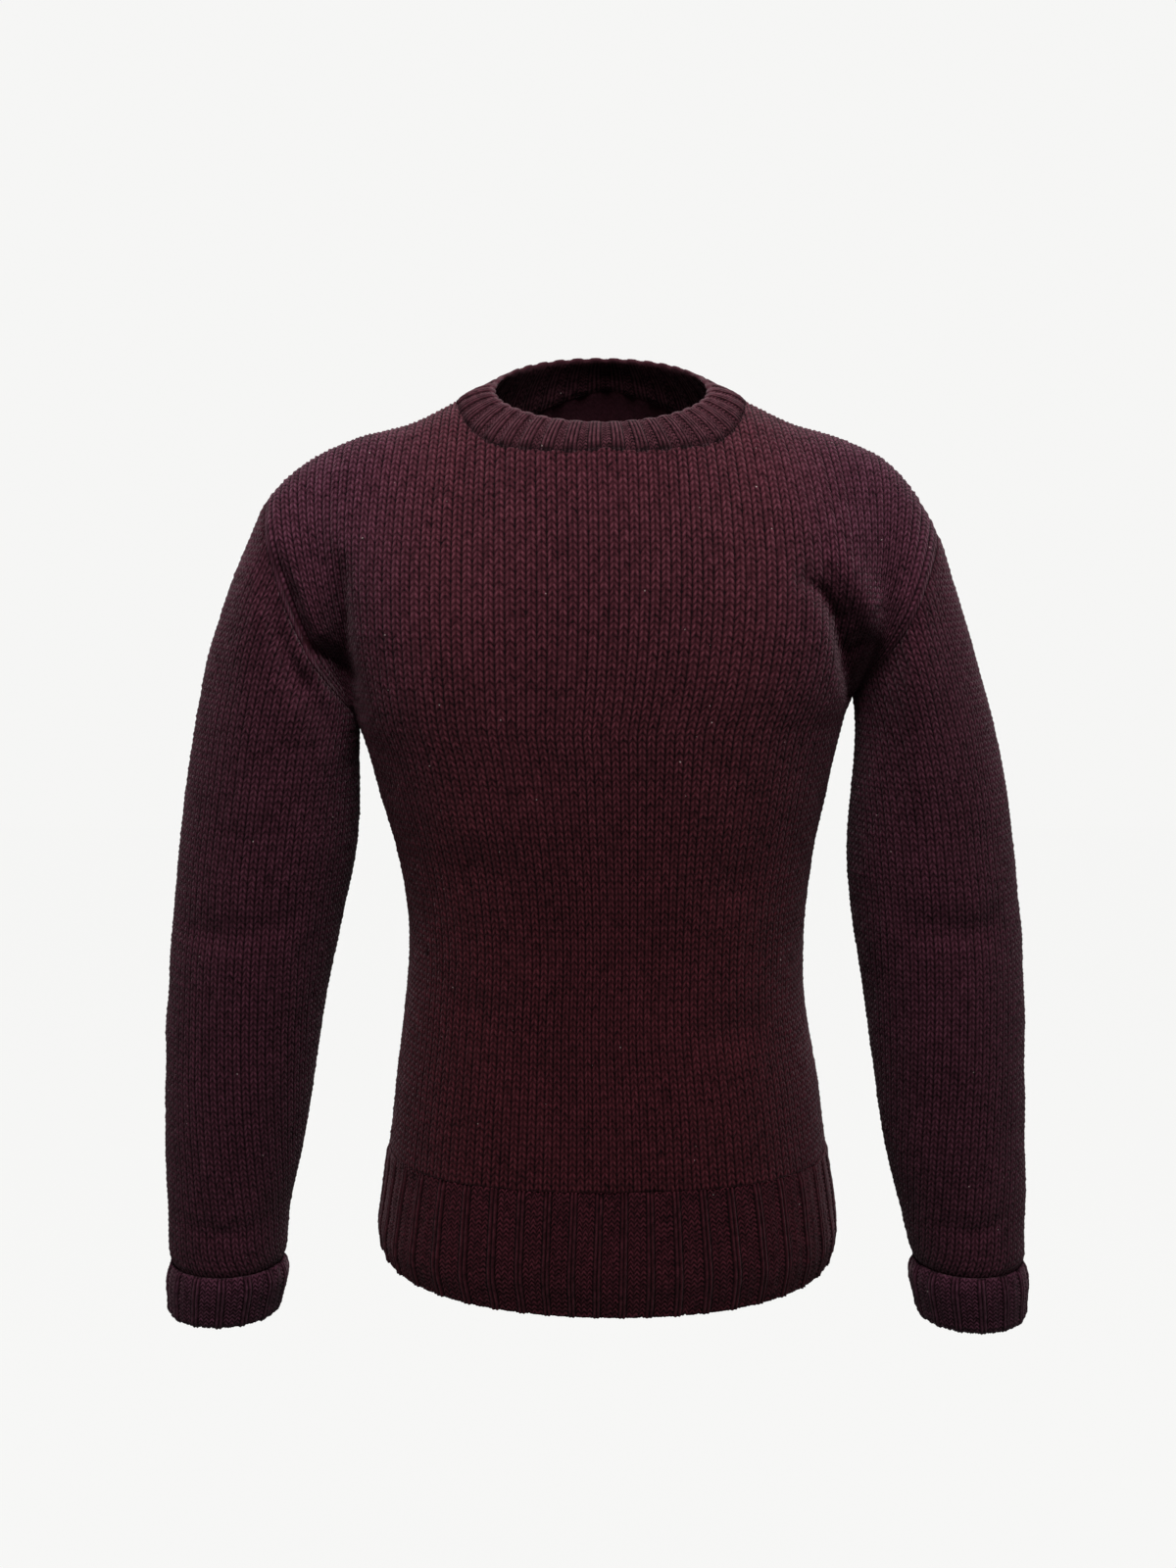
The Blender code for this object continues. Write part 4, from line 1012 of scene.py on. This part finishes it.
def hem_point(face, s, v):
    """A hem rib at place s, from its lower edge at v 0 to the seam at v 1. The lower edge hangs lower in
    the middle with 1 minus s squared."""
    ends = (HEM_RIGHT_Z + HEM_LEFT_Z) / 2 + (HEM_LEFT_Z - HEM_RIGHT_Z) / 2 * s
    bottom = ends - (FRONT_DROP if face == FRONT else BACK_DROP) * (1 - s**2)
    return body_section(face, s, bottom + (RIB_TOP_Z - bottom) * v)


HEM_COURSES = 26
HEM_LENGTH = 0.48
HEM_SWAY = 0.010


def knit_hem(name, face, seed):
    """A hem rib as a wall, with its rows at even shares of the height."""
    wales, places, rise = rib_columns(HEM_TABLE, HEM_RIBS)
    s = (2 * places - 1) * -face
    rows = 2 * (HEM_COURSES + 2) + 1
    course = np.arange(rows)[:, None] / 2 + wales.lift + wander(wales, rows, seed)
    v = np.clip(course / HEM_COURSES, 0, 1)
    s = s + HEM_SWAY * (1 - s**2) * np.sin(8 * s + 1.5 * face) * (1 - v)
    rest = hem_point(face, s, v)
    normals = face_normals(hem_point, face, s, v, 0.004, v + 0.02, v - 0.02)
    height = stitch_heights(wales, rows, seed)
    seam = bell(np.minimum(places, 1 - places) * HEM_LENGTH, 0.003)
    start = ease((1 - v) * 12)
    swell = UNEVEN * unevenness(rest, seed) * (1 - seam) * ease(v * 6) * start
    move = (1.3 * rise - 0.1) * RIB_RISE * start + 0.0010 * height - 0.0008 * seam - SINK + swell
    outside = rest + normals * move[..., None]
    inside = (rest - normals * RIB_WALL)[::2, ::4]
    uv = stitch_uv(wales.number, v * HEM_COURSES)
    # the attribute depth is lower along the seams: painted shade in their grooves
    return wall(name, outside, inside, height * (1 - 0.3 * seam), uv, rest, False, [rib_wool, shaded_inside_wool])


front_hem = knit_hem("ribbed_front_hem", FRONT, 31)
back_hem = knit_hem("ribbed_back_hem", BACK, 32)

# %% [markdown]
# The cuffs and the neckband are hoops: a closed section carried round the wrist or the neck. For the
# cuff the section runs from the seam down the inside, round the fold and up the outside to the free
# edge, and back down in the slot between the two layers, which nobody sees.

# %% Hoops


def hoop(name, points, depth, uv, material):
    """A ring of cloth from a grid whose rows close round the section and whose columns close round
    the ring."""
    labels = np.arange(depth.size)[:, None]
    triangles = cells(np.pad(labels.reshape(depth.shape), ((0, 1), (0, 1)), mode="wrap"))
    slots = np.zeros(len(triangles), dtype=int)
    points, uv = points.reshape(-1, 3), uv.reshape(-1, 2)
    return make_mesh(name, points, labels, uv, depth.ravel(), triangles, slots, [material])


def grid_normals(points):
    """Normals of a ring of points, from the differences between neighbours round the ring and along
    the section."""
    across = np.roll(points, -1, axis=1) - np.roll(points, 1, axis=1)
    return unit(np.cross(across, np.gradient(points, axis=0)))


def knit_cuff(name, side, seed):
    """A turned-back cuff. Each row lies at a distance from the sleeve's end and at a height."""
    wales, places, rise = rib_columns(CUFF_TABLE, CUFF_RIBS)
    turn = places[:-1] * 2 * math.pi
    ring = sleeve_ring(side, -side * turn, 0.0)
    outward = unit(np.cross(np.roll(ring, -1, axis=0) - np.roll(ring, 1, axis=0), (0.0, 0.0, 1.0)))
    fold = CUFF_FOLD_Z[side]
    seam = CUFF_SEAM_Z - SEAM_GAP / 2
    outer = CUFF_SLOT + RIB_WALL
    path = np.array([
        # distance, height, how much of the ribs shows
        (-RIB_WALL, seam, 0.2),
        (-RIB_WALL, fold + 0.010, 0.5),
        (-0.70 * RIB_WALL, fold + 0.0030, 0.7),
        (CUFF_SLOT / 2, fold, 0.8),
        (CUFF_SLOT + 0.75 * RIB_WALL, fold + 0.0030, 1.0),
        (outer, fold + 0.010, 1.0),
        (outer - 0.0004, CUFF_EDGE_Z - 0.0040, 1.0),
        (outer - 0.0016, CUFF_EDGE_Z, 0.6),
    ])
    travelled = arc_length(path[:, :2])
    rows = 2 * int(round(travelled[-1] / RIB_COURSE)) + 1
    travel = travelled[-1] * (np.arange(rows)[:, None] + 2 * wales.lift[:-1]) / (rows - 1)
    section = smooth_table(np.column_stack([travelled, path]), np.clip(travel, 0, travelled[-1]))
    distance, z, shown = np.moveaxis(section, -1, 0)

    def place(distance, z):
        low = np.maximum((CUFF_SEAM_Z - z) / (CUFF_SEAM_Z - fold), 0)
        points = ring + outward * (distance - low * CUFF_TAPER)[..., None]
        points[..., 0] += side * low * CUFF_LEAN
        points[..., 2] = z
        return points

    rest = place(distance, z)
    normals = grid_normals(rest)
    height = stitch_heights(wales, rows, seed)[:, :-1]
    move = shown * (rise[:-1] * RIB_RISE + 0.0009 * height)
    visible = rest + normals * move[..., None]
    back_rows = np.array([
        (CUFF_SLOT + 0.0010, CUFF_EDGE_Z + 0.0002),
        (CUFF_SLOT, CUFF_EDGE_Z - 0.004),
        (CUFF_SLOT, fold + 0.005),
        (0.0, fold + 0.005),
        (0.0, seam),
    ])
    one = np.ones(len(turn))
    hidden = np.stack([place(d * one, h * one) for d, h in back_rows])
    points = np.concatenate([visible, hidden])
    # the hidden rows in the slot get a low depth: painted shade
    depth = np.concatenate([height, np.full((len(back_rows), len(turn)), 0.2)])
    course = np.concatenate([travel, np.repeat(travel[-1:], len(back_rows), 0)]) / RIB_COURSE
    return hoop(name, points, depth, stitch_uv(wales.number[:-1], course), cuff_wool)


right_cuff = knit_cuff("ribbed_right_cuff", -1, 41)
left_cuff = knit_cuff("ribbed_left_cuff", 1, 42)

# %% [markdown]
# The neckband is picked up round the neckline and stands up from it. Its ribs run from the neckline to
# the free edge and over it, so the edge is scalloped: each rib ends in a small arch.

# %% Neckband


def rim_point(turn):
    """The neckband's rim: an oval whose height is a base, plus a tilt with the cosine, plus a dip with
    the cosine of twice the turn. The turn is 0 at the front and a quarter turn at the left shoulder."""
    front_z, side_z, back_z = RIM_HEIGHTS["front"], RIM_HEIGHTS["side"], RIM_HEIGHTS["back"]
    tilt = (front_z - back_z) / 2
    dip = (front_z + back_z - 2 * side_z) / 4
    z = side_z + dip + tilt * np.cos(turn) + dip * np.cos(2 * turn)
    return np.stack([RIM_HALF_WIDTH * np.sin(turn), -RIM_DEPTH * np.cos(turn), z], -1)


BAND_COURSES = 11


def knit_neckband(name, seed):
    """The neckband: rows up the outside, over the free edge and down the inside to the neckline."""
    wales, places, rise = rib_columns(BAND_TABLE, BAND_RIBS)
    rise = rise[:-1]
    rib = places[:-1] * BAND_RIBS
    share_front = rib[rib < FRONT_BAND_RIBS] / FRONT_BAND_RIBS
    share_back = (rib[rib >= FRONT_BAND_RIBS] - FRONT_BAND_RIBS) / BACK_BAND_RIBS
    feet = []
    for face, share in ((FRONT, share_front), (BACK, share_back)):
        s = NECK_SHARE * np.sin(face * (math.pi / 2 - math.pi * share))
        feet.append(panel_point(face, s, np.full((1, len(s)), 2.0))[0])
    base = np.concatenate(feet)
    depth_y = np.where(base[:, 1] < 0, FOOT_DEPTH[FRONT], FOOT_DEPTH[BACK])
    rim = rim_point(np.arctan2(base[:, 0] / FOOT_HALF_WIDTH, -base[:, 1] / depth_y))
    up = unit(rim - base)
    normal = unit(np.cross(np.roll(base, -6, axis=0) - np.roll(base, 6, axis=0), up))
    length = np.linalg.norm(rim - base, axis=-1)
    rows = 2 * BAND_COURSES + 1
    section = np.linspace(0, 1, rows)[:, None]
    lift = wales.lift[:-1] / BAND_COURSES
    share = np.clip(section + lift, 0, 1)
    height = stitch_heights(wales, 2 * rows, seed)[: 2 * rows - 1, :-1]
    relief = (1.4 * rise - 0.3) * RIB_RISE + 0.0006 * height[:rows]
    seam = bell(share * length, 0.003)
    out = BAND_CROWN * 4 * share * (1 - share)
    out = out + relief * (1 - 0.5 * bell((1 - share) * length, 0.002)) - 0.0010 * seam
    outer = base + up * (share * length)[..., None] + normal * out[..., None]
    # over the free edge: how far past the rim and how far in from the outside
    edge = [(0.0006, 0.0010), (0.0010, BAND_WALL / 2), (0.0004, BAND_WALL - 0.0009)]
    edge = [rim + up * (past + 0.0012 * rise)[:, None] - normal * inwards for past, inwards in edge]
    back_share = np.clip(1 - 1.15 * section[1:] + lift, -0.15, 1)
    back_crown = BAND_CROWN * 4 * np.maximum(back_share, 0) * (1 - back_share)
    sunk = BAND_WALL + 0.0007 * ease((0.3 - back_share) / 0.3)
    sunk = sunk + 0.0006 * (1 - rise) * height[rows:] - 0.0005 * rise
    inner = base + up * (back_share * length)[..., None] + normal * (back_crown - sunk)[..., None]
    points = np.concatenate([outer, np.stack(edge), inner])
    # painted shade through the attribute depth: lower at the neckline seam, and lower again on the band's
    # inside
    shade = height * (0.76 + 0.24 * rise)
    plain = np.full((len(edge), len(rib)), 0.55)
    depth = np.concatenate([shade[:rows] * (1 - 0.7 * seam), plain, 0.6 * shade[rows:]])
    course = np.concatenate([share, np.full(plain.shape, 1.03), 2.06 - back_share]) * BAND_COURSES
    return hoop(name, points, depth, stitch_uv(wales.number[:-1], course), band_wool)


neckband = knit_neckband("ribbed_neckband", 51)

# %% [markdown]
# Each knitted piece now stands for its solid, whose mesh is hidden, and moves with the one body of the
# part. The table lists what sheet of cloth each was before it was sewn: its finish, the width and length
# of the cut, its flat area and how it is held; these values are not passed on.

# %% Hand the pieces to the frame
CUTS = {
    # piece: node, finish, width, length, flat area, how it is held
    front: ("front", "plain_knit", 0.500, 0.680, 0.288, "draped"),
    back: ("back", "plain_knit", 0.500, 0.690, 0.294, "draped"),
    right_sleeve: ("right_sleeve", "sleeve_knit", 0.440, 0.660, 0.200, "hung"),
    left_sleeve: ("left_sleeve", "sleeve_knit", 0.440, 0.640, 0.194, "hung"),
    front_hem: ("front_hem_rib", "rib_knit", 0.510, 0.100, None, "hung"),
    back_hem: ("back_hem_rib", "rib_knit", 0.510, 0.095, None, "hung"),
    right_cuff: ("right_cuff", "rib_knit", 0.270, 0.078, None, "folded"),
    left_cuff: ("left_cuff", "rib_knit", 0.270, 0.086, None, "folded"),
    neckband: ("neckband", "rib_knit", 0.570, 0.036, None, "draped"),
}
for piece, (stands_for, finish, width, length, area, held) in CUTS.items():
    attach(piece, "root")
    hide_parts(stands_for)
print("pieces:", [p.name for p in CUTS])
